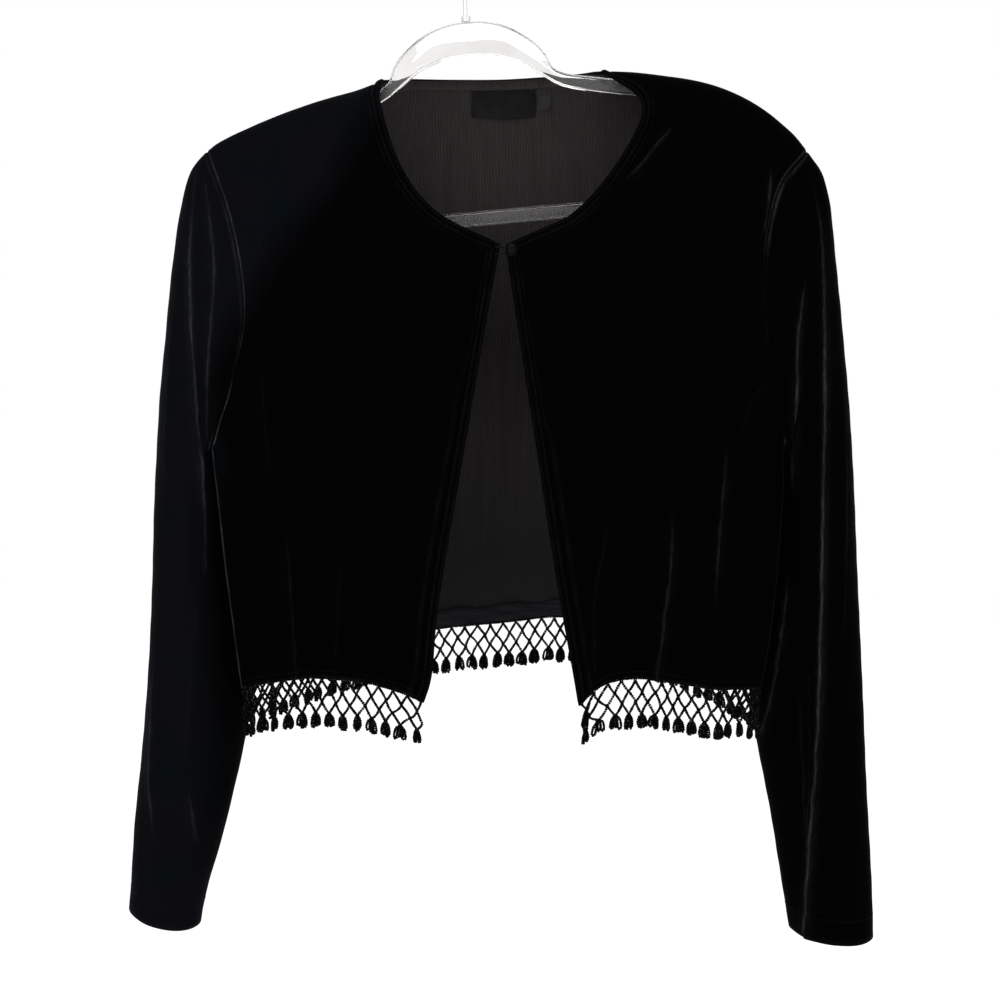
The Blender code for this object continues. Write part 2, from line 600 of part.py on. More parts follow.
def add_fringe(name, hem, material, collection):
    """Narrow strip under the hem, a net of crossing cords and three strands at each low crossing."""
    steps = np.linalg.norm(np.diff(hem[:, :2], axis=0), axis=1)
    lengths = np.concatenate([[0], np.cumsum(steps)])
    count = round((lengths[-1] - 2 * NET_MARGIN) / NET_PITCH)
    pitch = (lengths[-1] - 2 * NET_MARGIN) / count
    slope = (pitch / 2) / NET_LEVEL
    half = NET_CORD * math.hypot(1, slope) / 2
    tall = half / slope
    net_top = STRIP_DROP + STRIP_HEIGHT
    vertices = []
    faces = []

    def add(along, down):
        point = [np.interp(along, lengths, hem[:, axis]) for axis in range(3)]
        vertices.append((point[0], point[1], point[2] - down))
        return len(vertices) - 1

    def crossing(level, index):
        along = NET_MARGIN + pitch * (index + 0.5 * (level % 2))
        down = net_top + NET_LEVEL * level
        if level == 0:
            return {"left": add(along - half, down), "right": add(along + half, down),
                    "low": add(along, down + tall)}
        if level < NET_LOW_LEVEL:
            corners = {"high": add(along, down - tall), "right": add(along + half, down),
                       "low": add(along, down + tall), "left": add(along - half, down)}
            faces.append((corners["high"], corners["left"], corners["low"], corners["right"]))
            return corners
        return tassel(along, down)

    def tassel(along, down):
        """Head of the three strands at a low crossing."""
        head = down + tall
        high = add(along, down - tall)
        roots = []
        for place, length in zip((-1, 0, 1), STRAND_LENGTHS):
            middle = along + place * STRAND_SPACING
            end = along + place * STRAND_SPACING * STRAND_SPREAD
            strand = [add(middle - STRAND_WIDTH / 2, head), add(end - STRAND_WIDTH / 2, head + length),
                      add(end + STRAND_WIDTH / 2, head + length), add(middle + STRAND_WIDTH / 2, head)]
            faces.append(tuple(strand))
            roots += [strand[0], strand[3]]
        faces.append((high, *roots))
        return {"high": high, "left": roots[0], "right": roots[-1]}

    levels = []
    for level in range(NET_LOW_LEVEL + 1):
        levels.append([crossing(level, index) for index in range(count + (level + 1) % 2)])
    for corners in levels[0]:
        faces.append((corners["left"], corners["low"], corners["right"]))
    for level, (upper, lower) in enumerate(zip(levels, levels[1:])):
        for index, low in enumerate(lower):
            from_left = index if level % 2 == 0 else index - 1
            from_right = from_left + 1
            if from_left >= 0:
                high = upper[from_left]
                faces.append((high["right"], high["low"], low["left"], low["high"]))
            if from_right < len(upper):
                high = upper[from_right]
                faces.append((high["low"], high["left"], low["high"], low["right"]))
    ends = [NET_MARGIN + pitch * index for index in range(count + 1)]
    ends[0] -= half
    ends[-1] += half
    strip = [add(along, STRIP_DROP) for along in ends]
    for index, corners in enumerate(levels[0]):
        faces.append((strip[index], corners["left"], corners["right"]))
        if index:
            faces.append((strip[index - 1], levels[0][index - 1]["right"], corners["left"], strip[index]))
    net = add_mesh(name, vertices, faces, material, collection, rounded=False)
    solidify = net.modifiers.new("thickness", "SOLIDIFY")
    solidify.thickness = NET_THICKNESS
    solidify.offset = 0
    return net


def add_outline(name, outline, depth, material, collection):
    """Flat closed outline with a thickness, in the tilted plane of the hanger."""
    curve = bpy.data.curves.new(name, "CURVE")
    curve.dimensions = "2D"
    curve.fill_mode = "BOTH"
    curve.extrude = depth / 2
    spline = curve.splines.new("POLY")
    spline.points.add(len(outline) - 1)
    for point, (along, down) in zip(spline.points, outline):
        point.co = (along, -down, 0, 1)
    spline.use_cyclic_u = True
    curve.materials.append(material)
    thing = bpy.data.objects.new(name, curve)
    thing.location = (HANGER_TOP[0], 0, -HANGER_TOP[1])
    thing.rotation_euler = (math.pi / 2, -HANGER_TILT, 0)
    collection.objects.link(thing)
    return thing


def mirrored(half):
    """A half outline at positive across, followed by its mirror image."""
    return [*half, *[(-across, down) for across, down in reversed(half)]]


def add_hanger(clear, metal, collection):
    """Clear hanger: the arch with its two arms, and the bar below it with its risen ends."""
    upper = [tuple(point) for point in smooth_curve(HANGER_UPPER, 2)]
    lower = [tuple(point) for point in smooth_curve(HANGER_LOWER, 2)]
    half = upper[1:] + lower
    outline = [tuple(HANGER_UPPER[0]), *half, tuple(HANGER_LOWER_MIDDLE)]
    outline += [(-across, down) for across, down in reversed(half)]
    add_outline("hanger_arms", outline, HANGER_DEPTH, clear, collection)
    rise = [*BAR_RISE, Point(BAR_HALF, BAR_DROP)]
    centre = smooth_curve(rise, 2)
    outside = inset(centre, BAR_HEIGHT / 2, -1)
    inside = inset(centre, BAR_HEIGHT / 2, 1)
    for edge in (outside, inside):
        edge[0][1] = np.interp(edge[0][0], *arm_underside()) + SEAM_GAP
        edge[-1][0] = BAR_HALF
    loop = mirrored([tuple(point) for point in outside])
    loop += reversed(mirrored([tuple(point) for point in inside]))
    add_outline("hanger_bar", loop, HANGER_DEPTH, clear, collection)
    add_hook(metal, collection)


def arm_underside():
    """Across and drop of the arm's lower outline, outwards."""
    lower = smooth_curve(HANGER_LOWER, 2)[::-1]
    return lower[:, 0], lower[:, 1]


def add_tube(name, points, diameter, material, collection, resolution=2):
    curve = bpy.data.curves.new(name, "CURVE")
    curve.dimensions = "3D"
    curve.bevel_depth = diameter / 2
    curve.bevel_resolution = resolution
    curve.use_fill_caps = True
    spline = curve.splines.new("POLY")
    spline.points.add(len(points) - 1)
    for place, (x, y, z) in zip(spline.points, points):
        place.co = (x, y, z, 1)
    curve.materials.append(material)
    thing = bpy.data.objects.new(name, curve)
    collection.objects.link(thing)
    return thing


def add_hook(metal, collection):
    """Wire hook whose crown has its inside at the origin."""
    middle = HOOK_INSIDE / 2
    radius = middle + HOOK_WIRE / 2
    stem = [(HANGER_TOP[0], HANGER_TOP[1] - SEAM_GAP), (0.0060, 0.062), (0.0060, 0.052), (0.0085, 0.044)]
    arc = []
    for degrees in range(-40, 206, 15):
        turn = math.radians(degrees)
        arc.append((radius * math.cos(turn), middle - radius * math.sin(turn)))
    route = at_shares(smooth_curve(stem + arc, 4), np.linspace(0, 1, 33))
    add_tube("hanger_hook", [(x, 0, -drop) for x, drop in route], HOOK_WIRE, metal, collection)


def add_button(glossy, thread, collection):
    """Ball button turned on its shank, and the thread loop that holds it."""
    surface = front_y(BUTTON_ACROSS, BUTTON_DROP)
    radius = BUTTON_DIAMETER / 2
    shank = BUTTON_SHANK_DIAMETER / 2
    start = math.asin(shank / radius)
    profile = [(0, 0), (shank, 0)]
    for turn in np.linspace(start, math.pi, 9):
        height = BUTTON_SHANK + radius * (math.cos(start) - math.cos(turn))
        profile.append((radius * math.sin(turn) if turn < math.pi else 0, height))
    mesh = bpy.data.meshes.new("button")
    mesh.from_pydata([(across, 0, up) for across, up in profile], [(i, i + 1) for i in range(len(profile) - 1)], [])
    mesh.materials.append(glossy)
    button = bpy.data.objects.new("button", mesh)
    screw = button.modifiers.new("turned", "SCREW")
    screw.steps = 16
    screw.render_steps = 16
    screw.use_merge_vertices = True
    screw.merge_threshold = 0.00001
    screw.use_normal_calculate = True
    button.location = (CENTRE_X + BUTTON_ACROSS, surface - SEAM_GAP * 1.3, -BUTTON_DROP)
    button.rotation_euler = (math.pi / 2, 0, 0)
    collection.objects.link(button)
    ring = shank + LOOP_CORD / 2 + SEAM_GAP
    level = surface - SEAM_GAP * 2 - LOOP_CORD / 2
    start_across = -RIGHT.edge[0].across - BAND_WIDTH / 2
    loop = [(start_across, BUTTON_DROP - ring * 1.6)]
    for degrees in range(100, -101, -20):
        turn = math.radians(degrees)
        loop.append((BUTTON_ACROSS + ring * math.cos(turn), BUTTON_DROP - ring * math.sin(turn)))
    loop.append((start_across, BUTTON_DROP + ring * 1.6))
    points = [(CENTRE_X + across, level, -drop) for across, drop in loop]
    add_tube("button_loop", points, LOOP_CORD, thread, collection)


def clear_scene():
    for thing in list(bpy.data.objects):
        bpy.data.objects.remove(thing, do_unlink=True)


def main():
    clear_scene()
    collection = new_collection("bolero_jacket")
    velvet = finish("black_velvet", (0.012, 0.012, 0.015), 0.85)
    trim = finish("black_trim", (0.010, 0.010, 0.012), 0.45)
    satin = finish("label_satin", (0.03, 0.03, 0.035), 0.35)
    clear = finish("clear_plastic", (0.85, 0.87, 0.88), 0.12, transmission=0.9)
    metal = finish("plated_wire", (0.75, 0.75, 0.76), 0.25, metallic=1.0)
    glossy = finish("button_black", (0.01, 0.01, 0.012), 0.15)

    back, back_band = make_back()
    fronts = {}
    bands = {}
    sleeves = {}
    for name, side in SIDES.items():
        fronts[name], bands[name] = make_front(side)
        sleeves[name] = make_sleeve(side, fronts[name], back)
    pieces = [back, back_band, *fronts.values(), *bands.values(), *sleeves.values()]
    share_thickness(pieces)
    for piece in pieces:
        piece.open_seams()
        add_cloth(piece, velvet, collection)

    for name in SIDES:
        hem = np.vstack([bands[name].hem()[:1], fronts[name].hem()])
        add_fringe("fringe_" + name, hem, trim, collection)
    add_fringe("fringe_back", back.hem(), trim, collection)
    add_patch("label", back, LABEL_ACROSS, LABEL_DROPS, satin, collection)
    add_patch("size_tab", back, TAB_ACROSS, TAB_DROPS, satin, collection)
    add_button(glossy, trim, collection)
    add_hanger(clear, metal, collection)


if __name__ == "__main__":
    main()
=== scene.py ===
"""Looks of a cropped velvet jacket with a beaded net hem, hanging on a clear clothes hanger.

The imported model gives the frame: metres, +Z up, the fronts face -Y, and the origin is the inside of the
hook's crown. "across" is counted from the jacket's centre line towards the wearer's left, "drop" downwards
from the origin, and the wearer's right side hangs towards -X.
"""
from __future__ import annotations

import logging
import math
import sys
from collections.abc import Callable, Iterator, Sequence
from contextlib import contextmanager
from dataclasses import dataclass
from enum import Enum

import bpy
import numpy as np
from bpy.types import Material, Mesh, MeshPolygon, Node, NodeSocket, Object
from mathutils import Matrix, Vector


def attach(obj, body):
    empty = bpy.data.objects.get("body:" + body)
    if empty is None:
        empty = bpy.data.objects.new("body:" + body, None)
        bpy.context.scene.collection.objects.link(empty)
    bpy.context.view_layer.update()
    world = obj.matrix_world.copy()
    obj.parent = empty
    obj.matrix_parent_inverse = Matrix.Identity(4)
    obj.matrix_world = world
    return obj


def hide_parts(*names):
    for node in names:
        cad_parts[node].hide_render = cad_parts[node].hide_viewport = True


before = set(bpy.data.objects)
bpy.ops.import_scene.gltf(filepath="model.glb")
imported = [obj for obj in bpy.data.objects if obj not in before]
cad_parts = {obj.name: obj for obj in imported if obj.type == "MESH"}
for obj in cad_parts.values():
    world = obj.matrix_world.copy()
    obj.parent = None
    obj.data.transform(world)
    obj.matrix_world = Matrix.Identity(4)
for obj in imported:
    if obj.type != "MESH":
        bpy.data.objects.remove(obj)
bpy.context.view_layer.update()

Grid = np.ndarray
Pair = tuple[float, float]
Line = tuple[Pair, ...]
Colour = tuple[float, float, float]

LOG = logging.getLogger("jacket")

CENTRE_X = 0.035
WALL = 0.0022
BAND_WIDTH = 0.006
BAND_FALL_SHARE = 0.6
ROUNDING_FALL = 0.10
SEAM_LINE_BACK = -0.022
SHOULDER_TIP_DROP = 0.168
UNDERARM_DROP = 0.385
HEM_NECK_ACROSS = 0.075
INSIDE_POINT = (CENTRE_X, 0.0, -0.30)

SIDE_ROWS = 76
ARMHOLE_ROWS = 96
PANEL_COLUMNS = 84
NECK_COLUMNS = 36
BAND_COLUMNS = 8
SLEEVE_RINGS = 164
RING_CROWDING = 1.45
# Shares of the sleeve's length over which its underarm and its armhole keep the body's form
HELD_SHARE = 0.10
JOINED_SHARE = 0.0324
# Width of wrong side at the sleeve's head that the velvet's own face covers
HEAD_FACING = 0.06
ARMHOLE_SPACING = (0, 0.18, 0.36, 0.54, 0.70, 0.82, 0.91, 0.965, 1)
NECK_SPACING = (0, 0.19, 0.36, 0.52, 0.66, 0.79, 0.89, 0.955, 1)

# The line on which the cloth is highest, as across and drop
RIDGE: Line = (
    (-0.2180, 0.1680), (-0.2062, 0.1599), (-0.1738, 0.1455), (-0.1357, 0.1320), (-0.1057, 0.1235),
    (-0.0890, 0.1160), (-0.0700, 0.1020), (-0.0350, 0.0840), (0.0000, 0.0780), (0.0350, 0.0850),
    (0.0560, 0.1000), (0.0700, 0.1097), (0.0984, 0.1118), (0.1356, 0.1168), (0.1619, 0.1240),
    (0.1850, 0.1355), (0.2076, 0.1530), (0.2210, 0.1680))
# Drop, and how far the front and the back stand from the seam line there
DEPTHS = ((0.10, 0.044, 0.058), (0.24, 0.042, 0.062), (0.385, 0.036, 0.072), (0.60, 0.036, 0.074))
BACK_HEM: Line = (
    (-0.1959, 0.5611), (-0.1500, 0.5480), (-0.1000, 0.5365), (-0.0527, 0.5294), (0.0026, 0.5240),
    (0.0454, 0.5200), (0.1000, 0.5285), (0.1500, 0.5440), (0.1902, 0.5611))
BACK_NECK: Line = (
    (-0.0890, 0.1160), (-0.0714, 0.1130), (-0.0400, 0.1120), (-0.0036, 0.1115), (0.0300, 0.1100),
    (0.0560, 0.1093), (0.0700, 0.1097))
# Share of the sleeve's length, then the middle, half and skew of its depth there
SLEEVE_DEPTHS = (
    (0.00, 0.000, 0.034, 0.000), (0.10, 0.008, 0.040, 0.006), (0.20, 0.015, 0.046, 0.012),
    (0.35, 0.020, 0.048, 0.014), (0.50, 0.019, 0.046, 0.012), (0.65, 0.014, 0.041, 0.007),
    (0.80, 0.008, 0.037, 0.003), (1.00, 0.003, 0.034, 0.000))


@dataclass(frozen=True)
class Cut:
    """Width and length, and area, of one flat cut piece."""

    flat: Pair
    area: float


class Wearer(Enum):
    """Side of the jacket, named for its wearer."""

    RIGHT = -1
    LEFT = 1

    @property
    def word(self) -> str:
        """The side's name as it stands in the names of pieces."""
        return self.name.lower()


class Facing(Enum):
    """Half of a sleeve on which a crease lies."""

    FRONT = -1
    BACK = 1


@dataclass(frozen=True)
class Fold:
    """Broad soft fold that runs from its top down to the hem."""

    top: Pair
    low: Pair
    height: float
    width: float


@dataclass(frozen=True)
class Crease:
    """Narrow crease: a ridge, or a trough when its height is negative.

    The crest is as light as sheen says, ends holds how much of it is left at its two ends, and lean makes
    its outer flank wider than its inner one.
    """

    line: Line
    height: float
    width: float
    sheen: float = 0.0
    ends: Pair = (0.0, 0.0)
    lean: float = 1.0
    facing: Facing = Facing.FRONT


@dataclass
class Relief:
    """How far a piece's cloth stands out at each point, and how much painted sheen it has.

    off is the signed distance from the nearest crest line and crest is how strong the painted highlight on
    that line is, both in two layers so that two neighbouring lines are kept apart. seam and free are how
    strong the painted sheen lines are along the sewn and the free edges. Beside a seam that painted line lies
    inset from it and has the width spread.
    """

    height: Grid
    glow: Grid
    off: Grid
    crest: Grid
    seam: Grid | float = 0.0
    free: float = 0.0
    inset: Grid | float = 0.0017
    spread: Grid | float = 0.0007


@dataclass(frozen=True)
class HalfPattern:
    """Outlines of one half of the jacket as (across, drop), with across counted outwards."""

    wearer: Wearer
    neck: Line
    edge: Line
    hem: Line
    armhole: Line
    width: Line
    sleeve_outer: Line
    sleeve_inner: Line
    folds: tuple[Fold, ...]


RIGHT = HalfPattern(
    wearer=Wearer.RIGHT,
    neck=((0.0890, 0.1160), (0.0912, 0.1260), (0.0901, 0.1355), (0.0840, 0.1583), (0.0756, 0.1799),
          (0.0641, 0.1985), (0.0499, 0.2135), (0.0314, 0.2247), (0.0150, 0.2320), (0.0043, 0.2372)),
    edge=((0.0043, 0.2372), (0.0164, 0.3047), (0.0279, 0.3715), (0.0481, 0.4905), (0.0534, 0.5440),
          (0.0592, 0.5657)),
    hem=((0.0592, 0.5657), (0.0678, 0.5610), (0.0843, 0.5550), (0.1116, 0.5490), (0.1440, 0.5480),
         (0.1750, 0.5535), (0.1959, 0.5611)),
    armhole=((0.2149, 0.3850), (0.2085, 0.3655), (0.2010, 0.3420), (0.1900, 0.3065), (0.1878, 0.2785),
             (0.1922, 0.2430), (0.2017, 0.2074), (0.2180, 0.1680)),
    width=((0.2750, 0.1000), (0.2640, 0.1680), (0.2520, 0.2400), (0.2420, 0.3000), (0.2290, 0.3450),
           (0.2149, 0.3850), (0.2104, 0.4292), (0.2066, 0.4698), (0.2012, 0.5153), (0.1959, 0.5611)),
    sleeve_outer=((0.2180, 0.1680), (0.2290, 0.1816), (0.2362, 0.2033), (0.2419, 0.2324), (0.2514, 0.3057),
                  (0.2596, 0.3872), (0.2652, 0.4812), (0.2716, 0.5765), (0.2811, 0.6692), (0.2870, 0.7365)),
    sleeve_inner=((0.2149, 0.3850), (0.2190, 0.3900), (0.2180, 0.3990), (0.2125, 0.4150), (0.2062, 0.4450),
                  (0.1998, 0.4900), (0.1950, 0.5300), (0.1942, 0.5688), (0.1988, 0.6072), (0.2126, 0.6692),
                  (0.2297, 0.7318), (0.2330, 0.7500)),
    folds=(Fold((0.150, 0.330), (0.160, 0.550), 0.0045, 0.015),
           Fold((0.110, 0.420), (0.120, 0.560), 0.0035, 0.014)))

LEFT = HalfPattern(
    wearer=Wearer.LEFT,
    neck=((0.0700, 0.1097), (0.0790, 0.1172), (0.0930, 0.1275), (0.0985, 0.1375), (0.0965, 0.1500),
          (0.0870, 0.1685), (0.0726, 0.1899), (0.0584, 0.2063), (0.0445, 0.2180), (0.0234, 0.2275),
          (0.0014, 0.2372)),
    edge=((0.0014, 0.2372), (0.0035, 0.2551), (0.0124, 0.3133), (0.0243, 0.3901), (0.0376, 0.4760),
          (0.0495, 0.5440), (0.0534, 0.5679)),
    hem=((0.0534, 0.5679), (0.0620, 0.5580), (0.0749, 0.5505), (0.1008, 0.5470), (0.1277, 0.5518),
         (0.1476, 0.5555), (0.1750, 0.5585), (0.1902, 0.5611)),
    armhole=((0.2040, 0.3761), (0.1985, 0.3520), (0.1915, 0.3250), (0.1860, 0.2900), (0.1855, 0.2600),
             (0.1890, 0.2250), (0.1990, 0.1930), (0.2210, 0.1680)),
    width=((0.2750, 0.1000), (0.2640, 0.1680), (0.2510, 0.2400), (0.2360, 0.3000), (0.2200, 0.3400),
           (0.2040, 0.3761), (0.2045, 0.4164), (0.2003, 0.4850), (0.1957, 0.5306), (0.1902, 0.5611)),
    sleeve_outer=((0.2210, 0.1680), (0.2305, 0.1816), (0.2371, 0.2033), (0.2420, 0.2400), (0.2501, 0.3057),
                  (0.2583, 0.3872), (0.2647, 0.4812), (0.2704, 0.5765), (0.2769, 0.6692), (0.2815, 0.7590)),
    sleeve_inner=((0.2040, 0.3761), (0.2070, 0.3810), (0.2062, 0.3910), (0.2025, 0.4100), (0.1980, 0.4400),
                  (0.1945, 0.4850), (0.1905, 0.5300), (0.1889, 0.5765), (0.1924, 0.6072), (0.2047, 0.6692),
                  (0.2140, 0.7318), (0.2172, 0.7540)),
    folds=(Fold((0.163, 0.400), (0.152, 0.550), 0.0060, 0.014),
           Fold((0.124, 0.420), (0.108, 0.550), 0.0060, 0.016),
           Fold((0.075, 0.440), (0.064, 0.545), 0.0030, 0.012)))

BACK_FOLDS = (Fold((-0.110, 0.200), (-0.125, 0.545), 0.0050, 0.016),
              Fold((0.060, 0.240), (0.075, 0.540), 0.0055, 0.018),
              Fold((0.140, 0.260), (0.130, 0.550), 0.0045, 0.014))

# Narrow creases of each piece, as signed across and drop
CREASES: dict[str, tuple[Crease, ...]] = {
    "front_right": (
        Crease(((-0.1742, 0.3150), (-0.1713, 0.3690), (-0.1661, 0.4200)), 0.0012, 0.0050, 0.02),
        Crease(((-0.1577, 0.4300), (-0.1539, 0.4970), (-0.1509, 0.5560)), 0.0016, 0.0045, 0.035, (0, 0.8)),
        Crease(((-0.1180, 0.4500), (-0.1200, 0.5000), (-0.1230, 0.5500)), 0.0010, 0.0060, 0.015, (0, 0.6)),
        Crease(((-0.2000, 0.1950), (-0.1800, 0.2250), (-0.1620, 0.2700)), 0.0010, 0.0060, 0.01)),
    "front_left": (
        Crease(((0.1592, 0.3750), (0.1557, 0.4250), (0.1532, 0.4529), (0.1514, 0.4980)), 0.0026, 0.0040,
               0.11, (0, 0.1), 1.6),
        Crease(((0.1200, 0.4230), (0.1192, 0.4458), (0.1180, 0.4731), (0.1134, 0.5106), (0.1086, 0.5500)),
               0.0026, 0.0040, 0.12, (0, 0.8), 1.6),
        Crease(((0.0758, 0.4200), (0.0695, 0.4602), (0.0647, 0.4860), (0.0643, 0.5450)), 0.0016, 0.0045,
               0.028, (0, 0.5)),
        Crease(((0.1908, 0.1800), (0.1887, 0.2050), (0.1850, 0.2350)), 0.0016, 0.0035, 0.22),
        Crease(((0.1230, 0.1500), (0.1090, 0.1651), (0.0963, 0.1806), (0.0800, 0.1970)), 0.0018, 0.0050,
               0.11),
        Crease(((0.1900, 0.3300), (0.1760, 0.3500), (0.1680, 0.3800)), 0.0014, 0.0050, 0.02)),
    "sleeve_right": (
        Crease(((-0.2237, 0.1850), (-0.2259, 0.2334), (-0.2256, 0.2835), (-0.2252, 0.3232),
                (-0.2246, 0.3470), (-0.2235, 0.3705), (-0.2221, 0.3925), (-0.2210, 0.4367),
                (-0.2205, 0.4750)), 0.0024, 0.0040, 0.30, (0.2, 0.3), 1.5),
        Crease(((-0.2160, 0.1950), (-0.2114, 0.2228), (-0.2089, 0.2477), (-0.2102, 0.2835),
                (-0.2140, 0.3200), (-0.2150, 0.3480), (-0.2160, 0.3760)), 0.0018, 0.0035, 0.19, (0.5, 0.3)),
        Crease(((-0.2359, 0.6390), (-0.2330, 0.6600), (-0.2308, 0.6830)), 0.0008, 0.0040, 0.12),
        Crease(((-0.2610, 0.5350), (-0.2640, 0.5900), (-0.2650, 0.6350), (-0.2610, 0.6800)), 0.0016, 0.0040,
               0.20),
        Crease(((-0.2240, 0.4700), (-0.2330, 0.5600), (-0.2420, 0.6500)), 0.0014, 0.0070, 0.02),
        Crease(((-0.2380, 0.2600), (-0.2460, 0.3400), (-0.2500, 0.4300)), 0.0014, 0.0060, 0.06),
        Crease(((-0.2240, 0.2300), (-0.2380, 0.3600), (-0.2400, 0.5200)), 0.0022, 0.0050, 0.20,
               facing=Facing.BACK),
        Crease(((-0.2480, 0.4200), (-0.2500, 0.5500), (-0.2560, 0.6900)), 0.0018, 0.0060, 0.10,
               facing=Facing.BACK)),
    "sleeve_left": (
        Crease(((0.2190, 0.1740), (0.2253, 0.2123), (0.2281, 0.2478), (0.2307, 0.3483), (0.2320, 0.4598),
                (0.2321, 0.5495), (0.2311, 0.6170), (0.2279, 0.6844), (0.2259, 0.7500)), 0.0034, 0.0038,
               0.36, (0.0, 0.8), 1.7),
        Crease(((0.2170, 0.2560), (0.2110, 0.3000), (0.2104, 0.3427), (0.2108, 0.3900), (0.2119, 0.4250)),
               0.0020, 0.0035, 0.34),
        Crease(((0.2098, 0.4700), (0.2054, 0.5262), (0.1994, 0.5714), (0.1940, 0.6050)), -0.0012, 0.0025,
               0.28, (0, 0.6)),
        Crease(((0.2460, 0.3000), (0.2500, 0.4200), (0.2510, 0.5400)), 0.0014, 0.0060, 0.05),
        Crease(((0.2180, 0.5600), (0.2230, 0.6400), (0.2260, 0.7000)), 0.0012, 0.0060, 0.04),
        Crease(((0.2280, 0.2200), (0.2350, 0.3300), (0.2380, 0.4700)), 0.0022, 0.0055, 0.18,
               facing=Facing.BACK),
        Crease(((0.2500, 0.4500), (0.2480, 0.5600), (0.2520, 0.7000)), 0.0018, 0.0060, 0.10,
               facing=Facing.BACK)),
    "back": (
        Crease(((-0.1420, 0.2600), (-0.1300, 0.3700), (-0.1260, 0.5450)), 0.0022, 0.0055, 0.16, (0, 0.7)),
        Crease(((-0.0500, 0.3400), (-0.0460, 0.4400), (-0.0500, 0.5280)), 0.0014, 0.0070, 0.06, (0, 0.6)),
        Crease(((0.0500, 0.2300), (0.0660, 0.3600), (0.0740, 0.5250)), 0.0024, 0.0055, 0.18, (0, 0.8)),
        Crease(((0.1500, 0.2800), (0.1380, 0.4000), (0.1320, 0.5400)), 0.0020, 0.0050, 0.14, (0, 0.7)),
        Crease(((-0.1750, 0.3500), (-0.1720, 0.4300), (-0.1650, 0.5500)), 0.0014, 0.0050, 0.08, (0, 0.6)))}


def smooth_curve(points: Sequence[Sequence[float]], steps: int = 10) -> Grid:
    """Points of a smooth curve that runs through all the given ones.

    Args:
        points: places that the curve passes.
        steps: points from each place to the next.

    Returns:
        The curve's points, one a row.
    """
    given = np.asarray(points, float)
    padded = np.vstack([2 * given[0] - given[1], given, 2 * given[-1] - given[-2]])
    curve = []
    for before, start, end, after in zip(padded, padded[1:], padded[2:], padded[3:]):
        for part in np.linspace(0, 1, steps, endpoint=False):
            linear = (end - before) * part
            square = (2 * before - 5 * start + 4 * end - after) * part ** 2
            cube = (3 * start - before - 3 * end + after) * part ** 3
            curve.append(start + 0.5 * (linear + square + cube))
    return np.array([*curve, given[-1]])


def lengths_along(curve: Grid) -> Grid:
    """Length run at each point of a curve."""
    return np.concatenate([[0], np.cumsum(np.linalg.norm(np.diff(curve, axis=0), axis=1))])


def at_lengths(curve: Grid, wanted: Grid) -> Grid:
    """Points of a curve at the wanted lengths along it."""
    run = lengths_along(curve)
    return np.column_stack([np.interp(wanted, run, curve[:, axis]) for axis in range(curve.shape[1])])


def at_shares(curve: Grid, shares: Sequence[float]) -> Grid:
    """Points at the given shares of a curve's length."""
    return at_lengths(curve, np.asarray(shares) * lengths_along(curve)[-1])


def crowded(count: int, pull: float = 0.12) -> Grid:
    """Shares from 0 to 1 in count steps, closer together towards both ends."""
    even = np.linspace(0, 1, count + 1)
    return even - pull * np.sin(2 * math.pi * even)


def respaced(spacing: Sequence[float], count: int) -> Grid:
    """The same uneven spacing with more steps."""
    return np.interp(np.linspace(0, len(spacing) - 1, count + 1), range(len(spacing)), spacing)


def inset(curve: Grid, width: float, sign: int) -> Grid:
    """The same curve moved sideways by a width, with mitred corners.

    Args:
        curve: points as (across, drop).
        width: how far it moves.
        sign: the side to which it moves.

    Returns:
        The moved points.
    """
    directions = np.diff(curve, axis=0)
    directions = directions / np.linalg.norm(directions, axis=1)[:, None]
    normals = sign * np.column_stack([-directions[:, 1], directions[:, 0]])
    before = np.vstack([normals[:1], normals])
    after = np.vstack([normals, normals[-1:]])
    middle = unit(before + after)
    return curve + middle * width / np.maximum((middle * before).sum(axis=1), 0.5)[:, None]


def unit(vectors: Grid) -> Grid:
    """The same vectors with a length of one."""
    return vectors / np.maximum(np.linalg.norm(vectors, axis=-1, keepdims=True), 1e-12)


def eased(share: Grid) -> Grid:
    """Smooth step from 0 to 1."""
    held = np.clip(share, 0, 1)
    return held * held * (3 - 2 * held)


def bell(distance: Grid, width: float) -> Grid:
    """Smooth bump that is 1 at no distance."""
    return np.exp(-(distance / width) ** 2)


SMOOTH_RIDGE = smooth_curve(RIDGE)
SMOOTH_BACK_HEM = smooth_curve(BACK_HEM)


def ridge_drop(across: Grid) -> Grid:
    """Drop of the ridge at a place across."""
    return np.interp(across, SMOOTH_RIDGE[:, 0], SMOOTH_RIDGE[:, 1])


def fullness(across: Grid, drop: Grid) -> Grid:
    """Share of the full depth that the cloth has reached, which rounds the shoulder over the hanger."""
    left = np.clip(1 - (drop - ridge_drop(across)) / ROUNDING_FALL, 0, 1)
    return np.sqrt(1 - left ** 2.2)


def seam_line(drop: Grid) -> Grid:
    """Y of the side seam, which lies nearer the front below the shoulders."""
    return SEAM_LINE_BACK * eased((drop - SHOULDER_TIP_DROP) / (UNDERARM_DROP - SHOULDER_TIP_DROP))


def fold_height(folds: Sequence[Fold], across: Grid, drop: Grid) -> Grid:
    """Height of the broad folds at a place, each highest along its line and fading at its top.

    Args:
        folds: the folds of that panel.
        across: places across.
        drop: places down.

    Returns:
        The height at each place.
    """
    total = np.zeros(np.broadcast(across, drop).shape)
    for fold in folds:
        share = np.clip((drop - fold.top[1]) / (fold.low[1] - fold.top[1]), 0, 1)
        line = fold.top[0] + share * (fold.low[0] - fold.top[0])
        total = total + fold.height * np.sqrt(share) * bell(across - line, fold.width)
    return total


